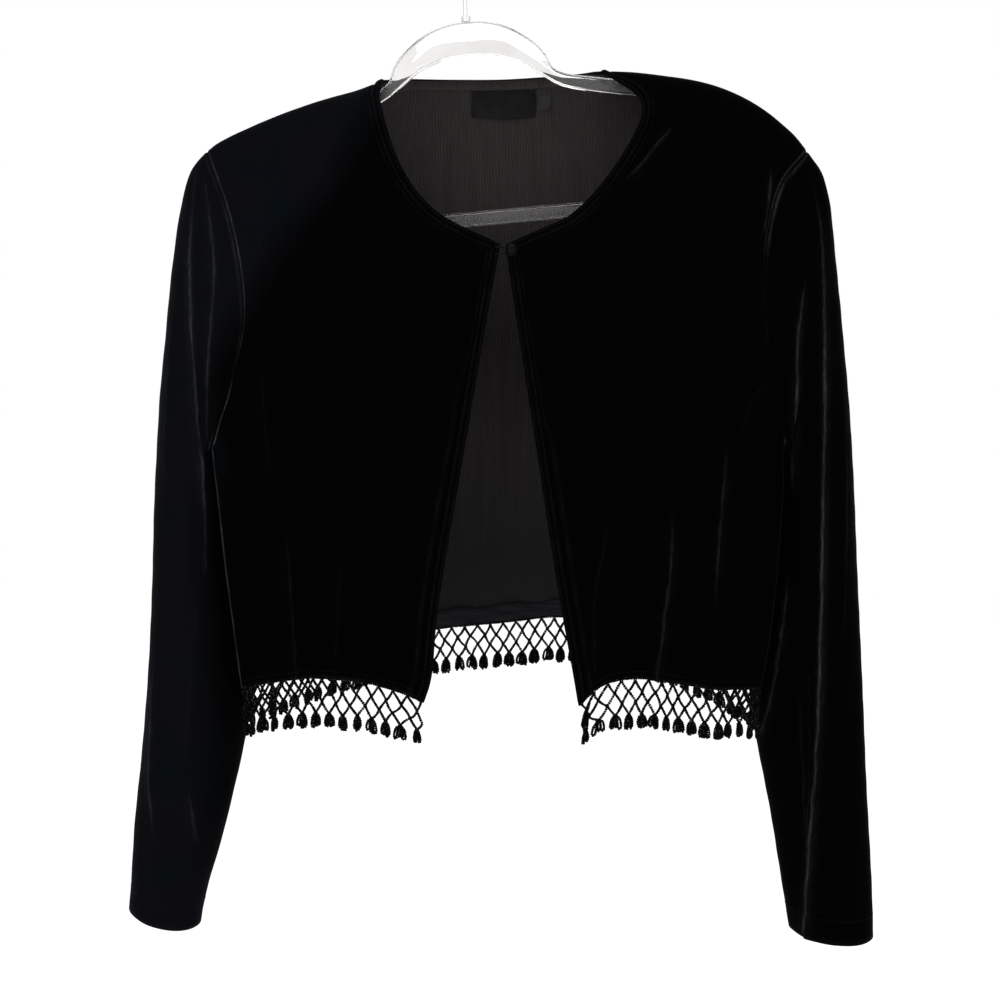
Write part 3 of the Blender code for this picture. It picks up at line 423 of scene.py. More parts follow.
def roundness(across: Grid, drop: Grid, power: float) -> Grid:
    """Share of the depth left at a distance from the centre line, none at the body's full width.

    Args:
        across: places across.
        drop: places down.
        power: how boxy the section is.

    Returns:
        The share at each place.
    """
    tables = [np.array(half.width).T for half in (LEFT, RIGHT)]
    width = np.where(across > 0, *(np.interp(drop, drops, widths) for widths, drops in tables))
    return 1 - np.minimum(np.abs(across) / width, 1) ** power


def depth_at(drop: Grid, column: int) -> Grid:
    """Depth of the front (column 1) or the back (column 2) at a drop."""
    return np.interp(drop, [row[0] for row in DEPTHS], [row[column] for row in DEPTHS])


def front_y(across: Grid, drop: Grid) -> Grid:
    """Y of the fronts' outer face."""
    folds = np.where(across > 0, fold_height(LEFT.folds, across, drop),
                     fold_height(RIGHT.folds, -across, drop))
    share = roundness(across, drop, 3.0) ** 0.4545 * fullness(across, drop)
    return seam_line(drop) - (depth_at(drop, 1) + folds) * share


def back_y(across: Grid, drop: Grid) -> Grid:
    """Y of the back's outer face."""
    share = roundness(across, drop, 2.0) ** 0.5 * fullness(across, drop)
    return seam_line(drop) + (depth_at(drop, 2) + fold_height(BACK_FOLDS, across, drop)) * share


Surface = Callable[[Grid, Grid], Grid]


def placed(flat: Grid, surface: Surface) -> Grid:
    """Lay (across, drop) places on the front's or the back's surface."""
    across, drop = flat[..., 0], flat[..., 1]
    return np.stack([CENTRE_X + across, surface(across, drop), -drop], axis=-1)


def inward_frames(flat: Grid, surface: Surface) -> tuple[Grid, Grid]:
    """Places on a surface, and the direction into the jacket at each of them.

    Args:
        flat: places as (across, drop).
        surface: the front's or the back's surface.

    Returns:
        Points in space and unit directions.
    """
    step = 0.0008
    points = placed(flat, surface)
    along = placed(flat + (step, 0), surface) - placed(flat - (step, 0), surface)
    down = placed(flat + (0, step), surface) - placed(flat - (0, step), surface)
    normals = unit(np.cross(along, down))
    facing = np.sign((normals * (np.array(INSIDE_POINT) - points)).sum(axis=-1, keepdims=True))
    return points, normals * facing


def filled(bottom: Grid, top: Grid, first: Grid, last: Grid, along: Grid, rise: Grid) -> Grid:
    """Grid of points between four boundary curves (a Coons patch).

    Args:
        bottom: the lowest row.
        top: the highest row.
        first: the first column.
        last: the last column.
        along: share of the way across at each column.
        rise: share of the way up at each row.

    Returns:
        Points by row and column.
    """
    up = rise[:, None, None]
    side = along[None, :, None]
    ruled = (1 - up) * bottom[None] + up * top[None] + (1 - side) * first[:, None] + side * last[:, None]
    corners = (1 - up) * ((1 - side) * bottom[0] + side * bottom[-1])
    return ruled - corners - up * ((1 - side) * top[0] + side * top[-1])


def signed(points: Grid, half: HalfPattern) -> Grid:
    """Outward-counted places as signed ones."""
    return points * (half.wearer.value, 1)


def line_distance(flat: Grid, line: Line) -> tuple[Grid, Grid]:
    """Signed distance of places from a smooth line.

    Args:
        flat: places as (across, drop).
        line: places that the line passes.

    Returns:
        The distances, and the share of the line's length that each place is nearest to.
    """
    curve = smooth_curve(line, 6)
    run = lengths_along(curve)
    best = np.full(flat.shape[:-1], 1e9)
    share = np.zeros(flat.shape[:-1])
    side = np.ones(flat.shape[:-1])
    for start, end, low, high in zip(curve, curve[1:], run, run[1:]):
        step = end - start
        offset = flat - start
        part = np.clip((offset @ step) / (step @ step), 0, 1)
        away = np.linalg.norm(offset - part[..., None] * step, axis=-1)
        nearer = away < best
        best = np.where(nearer, away, best)
        share = np.where(nearer, (low + part * (high - low)) / run[-1], share)
        side = np.where(nearer, np.sign(step[0] * offset[..., 1] - step[1] * offset[..., 0]), side)
    return best * side, share


# Share of a crease's length over which each end fades, and the trough on its outer flank
CREASE_FADE = 0.3
TROUGH_DEPTH, TROUGH_AWAY, TROUGH_WIDTH = 0.35, 2.2, 1.5
# Faint light beside a crest: its share of the crest's, its distance and its width
HALO, HALO_AWAY, HALO_WIDTH = 0.15, 0.0012, 0.0035
# How far a crest's own line is kept, and over what width it is let go
CREST_REACH, CREST_FADE = 0.010, 0.003


def crease_relief(creases: Sequence[Crease], flat: Grid, outward: int) -> Relief:
    """Height and sheen of narrow creases at each place.

    Args:
        creases: the piece's creases.
        flat: places as (across, drop).
        outward: sign of across away from the centre line.

    Returns:
        The cloth's relief.
    """
    none = np.zeros(flat.shape[:-1])
    relief = Relief(none.copy(), none.copy(), np.stack([none, none]) + 1, np.stack([none, none]))
    for number, crease in enumerate(creases):
        distance, share = line_distance(flat, crease.line)
        distance = distance * outward
        flank = np.where(distance < 0, crease.width * crease.lean, crease.width)
        first, last = crease.ends
        taper = ((first + (1 - first) * eased(share / CREASE_FADE))
                 * (last + (1 - last) * eased((1 - share) / CREASE_FADE)))
        trough = bell(distance - TROUGH_AWAY * crease.width, TROUGH_WIDTH * crease.width)
        relief.height += crease.height * taper * (bell(distance, flank) - TROUGH_DEPTH * trough)
        uneven = 0.72 + 0.28 * np.sin(share * 23 + crease.height * 9e3) * np.sin(share * 9 + 1)
        # painted highlight: how light the crest line is, with a faint painted halo beside it
        light = crease.sheen * taper * uneven
        relief.glow = np.maximum(relief.glow, HALO * light * bell(distance + HALO_AWAY, HALO_WIDTH))
        layer = number % 2
        nearer = np.abs(distance) < np.abs(relief.off[layer])
        kept = eased((CREST_REACH - np.abs(distance)) / CREST_FADE)
        relief.crest[layer] = np.where(nearer, light * kept, relief.crest[layer])
        relief.off[layer] = np.where(nearer, distance, relief.off[layer])
    return relief


def slight_waves(flat: Grid, seed: float) -> Grid:
    """Low unevenness of cloth that hangs freely.

    Args:
        flat: places as (across, drop).
        seed: number that gives each piece its own waves.

    Returns:
        The height at each place.
    """
    across, drop = flat[..., 0], flat[..., 1]
    waves = np.sin(across * 61 + drop * 13 + seed) * np.sin(drop * 17 + 2.1 * seed)
    waves = waves + 0.6 * np.sin(across * 113 - drop * 21 + 3 * seed) * np.sin(drop * 31 + seed)
    ripples = 0.0002 * np.sin(across * 260 + drop * 90 + seed) * np.sin(drop * 140 - across * 50)
    return 0.0005 * waves + ripples


def deselect() -> None:
    """Leave nothing selected, the carried-over solids included."""
    if bpy.context.mode != "OBJECT":
        bpy.ops.object.mode_set(mode="OBJECT")
    bpy.ops.object.select_all(action="DESELECT")


def activate(thing: Object) -> None:
    """Select one object alone and make it the active one.

    Args:
        thing: the object.
    """
    deselect()
    thing.select_set(True)
    bpy.context.view_layer.objects.active = thing


def settle(thing: Object, name: str, material: Material, angle: float = 35) -> Object:
    """Bake a modelled piece's place into its mesh, and name, finish and shade it.

    Args:
        thing: the active object.
        name: the piece's name.
        material: its finish.
        angle: degrees past which an edge stays sharp.

    Returns:
        The same object.
    """
    activate(thing)
    for modifier in list(thing.modifiers):
        bpy.ops.object.modifier_apply(modifier=modifier.name)
    bpy.ops.object.transform_apply(location=True, rotation=True, scale=True)
    bpy.ops.object.shade_smooth_by_angle(angle=math.radians(angle))
    thing.name = name
    thing.data.name = name
    thing.data.materials.clear()
    thing.data.materials.append(material)
    deselect()
    return thing


@contextmanager
def editing(thing: Object, wanted: Callable[[MeshPolygon], bool]) -> Iterator[None]:
    """Shape some faces of the active object in edit mode.

    Args:
        thing: the active object.
        wanted: says of a face whether it is selected.

    Yields:
        Nothing, in edit mode.
    """
    for polygon in thing.data.polygons:
        polygon.select = wanted(polygon)
    bpy.ops.object.mode_set(mode="EDIT")
    bpy.ops.mesh.select_mode(type="FACE")
    yield
    bpy.ops.object.mode_set(mode="OBJECT")


def grid_quads(ids: Grid, ring: bool = False) -> Grid:
    """Quads between the points of a grid.

    Args:
        ids: vertex numbers by row and column.
        ring: whether the last column meets the first one.

    Returns:
        Four vertex numbers a row.
    """
    span = ids if ring else ids[:, :-1]
    beside = np.roll(ids, -1, axis=1) if ring else ids[:, 1:]
    return np.stack([span[:-1], beside[:-1], beside[1:], span[1:]], axis=-1).reshape(-1, 4)


def turned_out(faces: list[list[int]], quads: Grid, points: Grid, outward: Grid) -> list[list[int]]:
    """The faces of a grid, turned round where its middle quad faces inwards.

    Args:
        faces: all the faces, turned as the quads are.
        quads: the grid's own quads.
        points: the grid's points.
        outward: the way out at each of them.

    Returns:
        Faces that look outwards.
    """
    middle = quads[len(quads) // 2]
    corners = points.reshape(-1, 3)[middle]
    facing = np.cross(corners[1] - corners[0], corners[3] - corners[0])
    return [face[::-1] for face in faces] if facing @ outward.reshape(-1, 3)[middle[0]] < 0 else faces


def ring_faces(rings: int, sides: int) -> list[list[int]]:
    """Faces of a closed tube of rings, its two caps first.

    Args:
        rings: how many rings it has.
        sides: how many faces go round it.

    Returns:
        The faces.
    """
    last = (rings - 1) * sides
    faces = [list(range(sides))[::-1], list(range(last, last + sides))]
    for base in range(0, last, sides):
        for side in range(sides):
            beside = (side + 1) % sides
            faces.append([base + side, base + beside, base + beside + sides, base + side + sides])
    return faces


def mesh_piece(name: str, vertices: Grid, faces: Sequence[Sequence[int]],
               *materials: Material) -> Object:
    """Smooth object from vertices and faces that already face outwards.

    Args:
        name: the piece's name.
        vertices: its points.
        faces: vertex numbers of each face.
        *materials: its finishes.

    Returns:
        The object.
    """
    mesh = bpy.data.meshes.new(name)
    mesh.from_pydata(np.asarray(vertices).tolist(), [], [list(map(int, face)) for face in faces])
    for material in materials:
        mesh.materials.append(material)
    mesh.shade_smooth()
    thing = bpy.data.objects.new(name, mesh)
    bpy.context.scene.collection.objects.link(thing)
    return thing


def publish(thing: Object, slot: str, *nodes: str) -> Object:
    """Let a piece ride on the part, and report it.

    Args:
        thing: the piece.
        slot: not used.
        *nodes: the solids that it stands for.

    Returns:
        The same piece.
    """
    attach(thing, "root")
    if nodes:
        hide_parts(*nodes)
    LOG.info("%s: %d faces", thing.name, len(thing.data.polygons))
    return thing


class Recipe:
    """Node tree of one material, built up around its main shader."""

    def __init__(self, name: str, levels: dict[str, float | tuple[float, ...]]) -> None:
        """Start a material.

        Args:
            name: its name.
            levels: plain values for its shader's own sockets.
        """
        self.material = bpy.data.materials.new(name)
        self.material.use_nodes = True
        self.tree = self.material.node_tree
        self.shader = self.tree.nodes["Principled BSDF"]
        for socket, level in levels.items():
            self.shader.inputs[socket].default_value = level

    def node(self, kind: str, links: dict[int | str, NodeSocket | float | tuple],
             **settings: object) -> Node:
        """Add one node, with its settings and what goes into its sockets.

        Args:
            kind: the node's type name.
            links: for each input, another node's output or a plain value.
            **settings: the node's own options.

        Returns:
            The node.
        """
        made = self.tree.nodes.new(kind)
        for option, value in settings.items():
            setattr(made, option, value)
        for socket, source in links.items():
            if isinstance(source, NodeSocket):
                self.tree.links.new(source, made.inputs[socket])
            else:
                made.inputs[socket].default_value = source
        return made

    def place(self) -> NodeSocket:
        """Place on the piece, in metres."""
        return self.node("ShaderNodeTexCoord", {}).outputs["Object"]

    def axis(self, name: str) -> NodeSocket:
        """One axis of the place on the piece."""
        return self.node("ShaderNodeSeparateXYZ", {0: self.place()}).outputs[name]

    def attribute(self, name: str) -> NodeSocket:
        """A number that the mesh carries at each vertex."""
        return self.node("ShaderNodeAttribute", {}, attribute_name=name).outputs["Fac"]

    def noise(self, scale: float, detail: float = 2.0) -> NodeSocket:
        """Noise from 0 to 1 with a scale in cells a metre."""
        levels = {"Vector": self.place(), "Scale": scale, "Detail": detail}
        return self.node("ShaderNodeTexNoise", levels).outputs["Fac"]

    def hairs(self, across: float, down: float) -> NodeSocket:
        """Noise drawn out down the piece, with its cells a metre across and down."""
        drawn = self.node("ShaderNodeMapping", {0: self.place(), 3: (across, across, down)}).outputs[0]
        return self.node("ShaderNodeTexNoise", {"Vector": drawn, "Scale": 1.0, "Detail": 2.0}).outputs["Fac"]

    def maths(self, operation: str, first: NodeSocket | float,
              second: NodeSocket | float = 0.0) -> NodeSocket:
        """Result of one sum on two numbers."""
        return self.node("ShaderNodeMath", {0: first, 1: second}, operation=operation).outputs[0]

    def plus(self, first: NodeSocket, second: NodeSocket | float) -> NodeSocket:
        """Sum of two numbers."""
        return self.maths("ADD", first, second)

    def times(self, first: NodeSocket, second: NodeSocket | float) -> NodeSocket:
        """Product of two numbers."""
        return self.maths("MULTIPLY", first, second)

    def ribs(self, along: NodeSocket, pitch: float) -> NodeSocket:
        """Rounded ribs, from -1 to 1, at a pitch in metres."""
        return self.maths("SINE", self.times(along, 2 * math.pi / pitch))

    def ranged(self, value: NodeSocket, low: float, high: float, start: float = 0.0,
               end: float = 1.0) -> NodeSocket:
        """A value taken from the range low to high into the range start to end, and held there."""
        return self.node("ShaderNodeMapRange", dict(enumerate((value, low, high, start, end)))).outputs[0]

    def mixed(self, share: NodeSocket, first: NodeSocket | Colour,
              second: NodeSocket | Colour) -> NodeSocket:
        """Blend of two colours.

        Args:
            share: how much of the second one there is.
            first: a colour.
            second: another colour.

        Returns:
            The blended colour.
        """
        ends = {slot: part if isinstance(part, NodeSocket) else (*part, 1.0)
                for slot, part in ((6, first), (7, second))}
        return self.node("ShaderNodeMix", {0: share, **ends}, data_type="RGBA").outputs[2]

    def coloured(self, colour: NodeSocket) -> None:
        """Let a colour drive the shader's base colour."""
        self.tree.links.new(colour, self.shader.inputs["Base Color"])

    def roughened(self, roughness: NodeSocket) -> None:
        """Let a number drive the shader's roughness."""
        self.tree.links.new(roughness, self.shader.inputs["Roughness"])

    def bumped(self, height: NodeSocket, depth: float, strength: float = 1.0) -> None:
        """Let a height from 0 to 1 shade the surface as if it were depth metres deep."""
        bump = self.node("ShaderNodeBump", {"Height": height, "Distance": depth, "Strength": strength})
        self.tree.links.new(bump.outputs[0], self.shader.inputs["Normal"])


@dataclass(frozen=True)
class Velvet:
    """Black pile velvet with painted sheen on crests, seams and edges, and painted light on the wearer's
    right.

    A painted rim sheen lightens it at glancing angles. The painted blue light starts and is full at the two
    places across in lit_side, which move with the height above lit_side_above by the share lit_side_slope.
    line is the half width of a crest's painted light core.
    """

    name: str = "black_velvet"
    base: Colour = (0.0006, 0.0006, 0.0007)
    # painted light: lighter blue and blue-green tones of the wearer's right side
    lit_blue: Colour = (0.0030, 0.0030, 0.0042)
    lit_teal: Colour = (0.0019, 0.0030, 0.0040)
    # painted rim sheen: lighter tone where the velvet is seen at a glancing angle
    rim: Colour = (0.0050, 0.0051, 0.0055)
    # painted highlight colour of the crest lines, seams and free edges
    crest: Colour = (0.075, 0.075, 0.079)
    line: float = 0.00085
    lit_side: Pair = (-0.152, -0.186)
    lit_side_above: float = -0.332
    lit_side_slope: float = 0.64
    glancing: Pair = (0.35, 0.90)
    # range of the streaks in the painted highlight
    highlight_streaking: Pair = (0.35, 1.15)

    def make(self) -> Material:
        """Make the finish.

        Returns:
            Material that reads the mesh's painted sheen, and its crests' distance and painted highlight.
        """
        recipe = Recipe(self.name, {
            "Specular IOR Level": 0.006, "Sheen Weight": 0.022, "Sheen Roughness": 0.24,
            "Sheen Tint": (0.80, 0.82, 0.90, 1.0)})
        # painted light: past a line across that slants with height, the wearer's right side turns lighter and
        # blue
        rise = recipe.maths("MAXIMUM", recipe.plus(recipe.axis("Z"), -self.lit_side_above), 0.0)
        edge = recipe.maths("SUBTRACT", recipe.axis("X"), recipe.times(rise, self.lit_side_slope))
        side = recipe.ranged(recipe.plus(edge, recipe.times(recipe.noise(12, 3), 0.03)),
                             *self.lit_side)
        tone = recipe.mixed(recipe.ranged(recipe.noise(26, 2), 0.45, 0.62), self.lit_blue, self.lit_teal)
        # painted rim sheen: the tone lightens towards glancing angles
        glancing = recipe.node("ShaderNodeLayerWeight", {"Blend": 0.35}).outputs["Facing"]
        tone = recipe.mixed(recipe.ranged(glancing, *self.glancing), tone, self.rim)
        cloth = recipe.mixed(side, self.base, tone)
        wander = recipe.times(recipe.maths("SUBTRACT", recipe.noise(70, 2), 0.5), 0.0022)
        # painted sheen lines and crest highlights, streaked, lighten the velvet's colour
        light = recipe.attribute("nap")
        for layer in (0, 1):
            off = recipe.plus(recipe.attribute(f"off_{layer}"), wander)
            fall = recipe.times(recipe.times(off, off), -1 / self.line ** 2)
            core = recipe.maths("EXPONENT", fall)
            crest = recipe.times(recipe.attribute(f"crest_{layer}"), core)
            light = recipe.plus(light, crest)
        highlight_streaks = recipe.ranged(recipe.hairs(1100, 110), 0.34, 0.66, *self.highlight_streaking)
        streaked_highlight = recipe.times(light, highlight_streaks)
        recipe.coloured(recipe.mixed(streaked_highlight, cloth, self.crest))
        pile = recipe.noise(1500, 3)
        recipe.roughened(recipe.ranged(pile, 0.3, 0.7, 0.85, 1.0))
        recipe.bumped(pile, 0.0004, 0.5)
        return recipe.material


@dataclass(frozen=True)
class VelvetReverse:
    """Woven wrong side of the velvet, with fine ribs down it.

    pitch and pick are the distances between its ribs and between its threads across. It darkens to shade
    between the two heights in shaded.
    """

    name: str = "velvet_reverse"
    dark: Colour = (0.0185, 0.0155, 0.0157)
    light: Colour = (0.0390, 0.0335, 0.0335)
    shade: Colour = (0.0086, 0.0086, 0.0101)
    pitch: float = 0.0021
    pick: float = 0.0006
    shaded: Pair = (-0.385, -0.475)
    shade_share: float = 0.9

    def make(self) -> Material:
        """Make the finish.

        Returns:
            Material that reads the mesh's rib attribute.
        """
        recipe = Recipe(self.name, {"Specular IOR Level": 0.12, "Sheen Weight": 0.04, "Sheen Roughness": 0.5})
        wander = recipe.times(recipe.noise(26, 2), 0.0090)
        ribs = recipe.ribs(recipe.plus(recipe.attribute("rib"), wander), self.pitch)
        picks = recipe.ribs(recipe.axis("Z"), self.pick)
        weave = recipe.ranged(recipe.plus(ribs, recipe.times(picks, 0.25)), -1.2, 1.2)
        uneven_tone_and_sheen = recipe.ranged(recipe.hairs(260, 14), 0.3, 0.7, 0.40, 1.1)
        cloth = recipe.mixed(recipe.times(weave, uneven_tone_and_sheen), self.dark, self.light)
        depth = recipe.ranged(recipe.axis("Z"), *self.shaded, 0.0, self.shade_share)
        recipe.coloured(recipe.mixed(depth, cloth, self.shade))
        recipe.roughened(recipe.ranged(recipe.noise(700, 2), 0.3, 0.7, 0.75, 0.95))
        recipe.bumped(weave, 0.0003, 0.8)
        return recipe.material


@dataclass(frozen=True)
class Weave:
    """Plain weave: the hem's turned allowance, sewing thread and the woven label.

    streaks are the cells a metre across and down of its worn streaks, and contrast is how strong they are.
    """

    name: str
    dark: Colour
    light: Colour
    pitch: float
    roughness: float
    specular: float = 0.3
    sheen: float = 0.0
    streaks: Pair = (160, 160)
    contrast: float = 0.5

    def make(self) -> Material:
        """Make the finish.

        Returns:
            Material with threads that cross at the pitch.
        """
        recipe = Recipe(self.name, {"Specular IOR Level": self.specular, "Sheen Weight": self.sheen})
        warp = recipe.ribs(recipe.axis("X"), self.pitch)
        weft = recipe.ribs(recipe.axis("Z"), self.pitch * 0.8)
        weave = recipe.ranged(recipe.times(warp, weft), -1.0, 1.0)
        worn = recipe.ranged(recipe.hairs(*self.streaks), 0.35, 0.65, 1 - self.contrast,
                             1 + 0.3 * self.contrast)
        tone = recipe.times(weave, worn)
        recipe.coloured(recipe.mixed(tone, self.dark, self.light))
        recipe.roughened(recipe.ranged(recipe.noise(500, 2), 0.3, 0.7, self.roughness, self.roughness + 0.12))
        recipe.bumped(weave, 0.00012, 0.6)
        return recipe.material


@dataclass(frozen=True)
class Gloss:
    """Smooth hard finish, slightly worn: beads, button and plated wire, with painted glints on the beads.

    grain is the cells a metre of its spots, which go from dark to light between the two levels in
    flecks_and_glints.
    """

    name: str
    dark: Colour
    light: Colour
    roughness: float
    metallic: float = 0.0
    specular: float = 0.5
    grain: float = 400.0
    depth: float = 0.00003
    flecks_and_glints: Pair = (0.3, 0.7)

    def make(self) -> Material:
        """Make the finish.

        Returns:
            Material whose tone and gloss vary a little.
        """
        recipe = Recipe(self.name, {"Metallic": self.metallic, "Specular IOR Level": self.specular})
        fine = recipe.noise(self.grain, 3)
        recipe.coloured(recipe.mixed(recipe.ranged(fine, *self.flecks_and_glints), self.dark, self.light))
        recipe.roughened(recipe.ranged(recipe.noise(self.grain * 0.4, 4), 0.3, 0.7,
                                       self.roughness, self.roughness * 1.8 + 0.02))
        recipe.bumped(fine, self.depth, 0.5)
        return recipe.material


@dataclass(frozen=True)
class ClearPlastic:
    """Clear moulded plastic, a little hazy, with flow marks."""

    name: str = "clear_plastic"
    dark: Colour = (0.80, 0.79, 0.78)
    light: Colour = (0.90, 0.89, 0.88)

    def make(self) -> Material:
        """Make the finish.

        Returns:
            Material that lets light through.
        """
        recipe = Recipe(self.name, {"Transmission Weight": 0.955, "IOR": 1.28})
        flow = recipe.noise(35, 2)
        recipe.coloured(recipe.mixed(recipe.ranged(flow, 0.3, 0.7), self.dark, self.light))
        recipe.roughened(recipe.ranged(recipe.noise(60, 2), 0.3, 0.7, 0.0, 0.05))
        recipe.bumped(flow, 0.0004, 0.05)
        return recipe.material


@dataclass(frozen=True)
class PaleFloor:
    """Even white studio sweep."""

    name: str = "pale_floor"

    def make(self) -> Material:
        """Make the finish.

        Returns:
            Matt white material with a faint grain.
        """
        recipe = Recipe(self.name, {"Roughness": 0.9, "Specular IOR Level": 0.1, "Emission Strength": 0.12,
                                    "Emission Color": (1.0, 1.0, 1.0, 1.0)})
        recipe.coloured(recipe.mixed(recipe.noise(3, 2), (0.95, 0.95, 0.95), (0.98, 0.98, 0.98)))
        return recipe.material


@dataclass(frozen=True)
class Finishes:
    """All finishes of the jacket and its hanger."""

    velvet: Material
    reverse: Material
    allowance: Material
    thread: Material
    beads: Material
    satin: Material
    tab: Material
    button: Material
    plastic: Material
    wire: Material

    @classmethod
    def made(cls) -> "Finishes":
        """Make every finish once."""
        return cls(
            velvet=Velvet().make(),
            reverse=VelvetReverse().make(),
            allowance=Weave("hem_allowance", (0.0028, 0.0028, 0.0042), (0.019, 0.0185, 0.0235), pitch=0.0011,
                            roughness=0.80, specular=0.1, sheen=0.03, streaks=(45, 900),
                            contrast=0.95).make(),
            thread=Weave("black_thread", (0.002, 0.002, 0.002), (0.008, 0.008, 0.009), pitch=0.0004,
                         roughness=0.6, specular=0.08).make(),
            # painted glints: the beads' light spots stand in for glints on the glass
            beads=Gloss("jet_beads", (0.001, 0.001, 0.001), (0.055, 0.053, 0.048), roughness=0.22,
                        specular=0.02, grain=650, flecks_and_glints=(0.60, 0.72)).make(),
            satin=Weave("label_satin", (0.002, 0.002, 0.002), (0.012, 0.012, 0.012), pitch=0.0005,
                        roughness=0.38, specular=0.08).make(),
            tab=Weave("tab_cotton", (0.014, 0.014, 0.014), (0.040, 0.040, 0.039), pitch=0.0006,
                      roughness=0.60, specular=0.1).make(),
            button=Gloss("polished_black", (0.001, 0.001, 0.001), (0.003, 0.003, 0.003), roughness=0.14,
                         specular=0.05, grain=250, depth=0.00001).make(),
            plastic=ClearPlastic().make(),
            wire=Gloss("plated_wire", (0.55, 0.55, 0.56), (0.78, 0.78, 0.79), roughness=0.14, metallic=1.0,
                       grain=900).make())


class Edge(Enum):
    """Edge of a grid of cloth."""

    LOW = "first row"
    HIGH = "last row"
    FIRST = "first column"
    LAST = "last column"

    @property
    def across_rows(self) -> bool:
        """Whether one steps from row to row to leave the edge."""
        return self in (Edge.LOW, Edge.HIGH)

    @property
    def at_end(self) -> bool:
        """Whether the edge is the last of its rows or columns."""
        return self in (Edge.HIGH, Edge.LAST)


class Cloth:
    """One cut piece of velvet: a wall between an outer and an inner grid.

    Its free edges are rounded as a turned hem is, and its other edges are sewn, with a groove at the seam.
    """

    GROOVE = 0.0009
    GROOVE_WIDTH = 0.0012
    CALM = 0.011
    RIM = 0.0009
    # painted sheen on the rounded free rims
    RIM_SHEEN = 0.03
    RIM_ANGLE = math.radians(62)
    KEYS_PER_METRE = 50000

    def __init__(self, name: str, points: Grid, flat: Grid, free: tuple[Edge, ...], ring: bool = False,
                 turn_up: float = 0.0, crown: float = 0.0) -> None:
        """Keep the grid and find its outward directions.

        Args:
            name: the piece's name.
            points: places on the outer face by row and column.
            flat: the same places as (across, drop).
            free: the edges that are sewn to nothing.
            ring: whether the last column meets the first one.
            turn_up: width of velvet turned inwards at the free edges.
            crown: how far a narrow strip swells between its edges.
        """
        self.name = name
        self.points = points
        self.flat = flat
        self.free = free
        self.ring = ring
        self.turn_up = turn_up
        self.crown = crown
        self.normals = self.outward()
        self.outer = points
        self.inner = points
        self.nap = self.off = self.crest = np.zeros(points.shape[:2])

    def outward(self) -> Grid:
        """Outward direction at each point.

        Returns:
            Unit vectors by row and column.
        """
        if self.ring:
            around = np.roll(self.points, -1, axis=1) - np.roll(self.points, 1, axis=1)
            inside = self.points.mean(axis=1, keepdims=True)
        else:
            around = np.gradient(self.points, axis=1)
            inside = np.array(INSIDE_POINT)
        normals = unit(np.cross(around, np.gradient(self.points, axis=0)))
        return normals * np.sign(((self.points - inside) * normals).sum())

    def edges(self) -> tuple[Edge, ...]:
        """Every edge that the grid has."""
        return (Edge.LOW, Edge.HIGH) if self.ring else tuple(Edge)

    def distance(self, edge: Edge) -> Grid:
        """Length of cloth between each point and an edge.

        Args:
            edge: the edge.

        Returns:
            The length by row and column.
        """
        axis = 0 if edge.across_rows else 1
        steps = np.linalg.norm(np.diff(self.points, axis=axis), axis=-1)
        start = np.zeros_like(np.take(steps, [0], axis=axis))
        run = np.concatenate([start, np.cumsum(steps, axis=axis)], axis=axis)
        return np.take(run, [-1], axis=axis) - run if edge.at_end else run

    def nearest(self, edges: Sequence[Edge]) -> Grid:
        """Distance to the nearest of some edges."""
        if not edges:
            return np.full(self.points.shape[:2], 1.0)
        return np.min([self.distance(edge) for edge in edges], axis=0)

    def boundary(self) -> list[tuple[tuple[int, int], tuple[int, ...]]]:
        """Grid places on the piece's edges.

        Returns:
            Each place, with a key that points of two pieces share where they meet.
        """
        rows, columns = self.points.shape[:2]
        places = {(row, column) for row in (0, rows - 1) for column in range(columns)}
        if not self.ring:
            places |= {(row, column) for column in (0, columns - 1) for row in range(rows)}
        return [(place, tuple(np.round(self.points[place] * self.KEYS_PER_METRE).astype(int)))
                for place in sorted(places)]

    def shaped(self, relief: Relief) -> None:
        """Raise the cloth by its creases, sink its seams, and give it its inner face.

        Args:
            relief: the cloth's relief.
        """
        sewn = self.nearest([edge for edge in self.edges() if edge not in self.free])
        free = self.nearest(self.free)
        calm = eased(sewn / self.CALM) * (0 if self.crown else 1)
        swell = self.crown * np.sin(math.pi * sewn / np.maximum(sewn + free, 1e-6)) if self.crown else 0
        height = relief.height * calm + swell - self.GROOVE * bell(sewn, self.GROOVE_WIDTH)
        # painted sheen: light lines along the seams and free edges, of uneven strength, and a faint halo
        # beside crests
        uneven_tone_and_sheen = 0.75 + 0.25 * np.sin(self.flat[..., 1] * 190 + self.flat[..., 0] * 70)
        lines = relief.seam * bell(sewn - relief.inset, relief.spread) + relief.free * bell(free, 0.0009)
        self.nap = np.clip(relief.glow * calm + uneven_tone_and_sheen * lines, 0, 1)
        self.off = relief.off
        self.crest = relief.crest * calm
        self.outer = self.points + self.normals * height[..., None]
        self.inner = self.outer - self.normals * WALL

    def line_at(self, edge: Edge, distance: float | Grid, face: Grid) -> tuple[Grid, Grid]:
        """Line on a face that runs beside an edge.

        Args:
            edge: the edge.
            distance: how far from it, in metres, the same all along or for each grid line.
            face: the grid of that face.

        Returns:
            Points of the line and the outward directions there.
        """
        run = self.distance(edge)
        sets = [np.moveaxis(grid, 0 if edge.across_rows else 1, 0) for grid in (run, face, self.normals)]
        if edge.at_end:
            sets = [grid[::-1] for grid in sets]
        lengths, places, directions = sets
        wanted = np.broadcast_to(distance, lengths.shape[1:])
        found = []
        for grid in (places, directions):
            found.append(np.array([[np.interp(wanted[line], lengths[:, line], grid[:, line, axis])
                                    for axis in range(3)] for line in range(lengths.shape[1])]))
        return found[0], unit(found[1])

    def hem(self) -> Grid:
        """Middle of the wall along the lowest row."""
        return (self.outer[0] + self.inner[0]) / 2

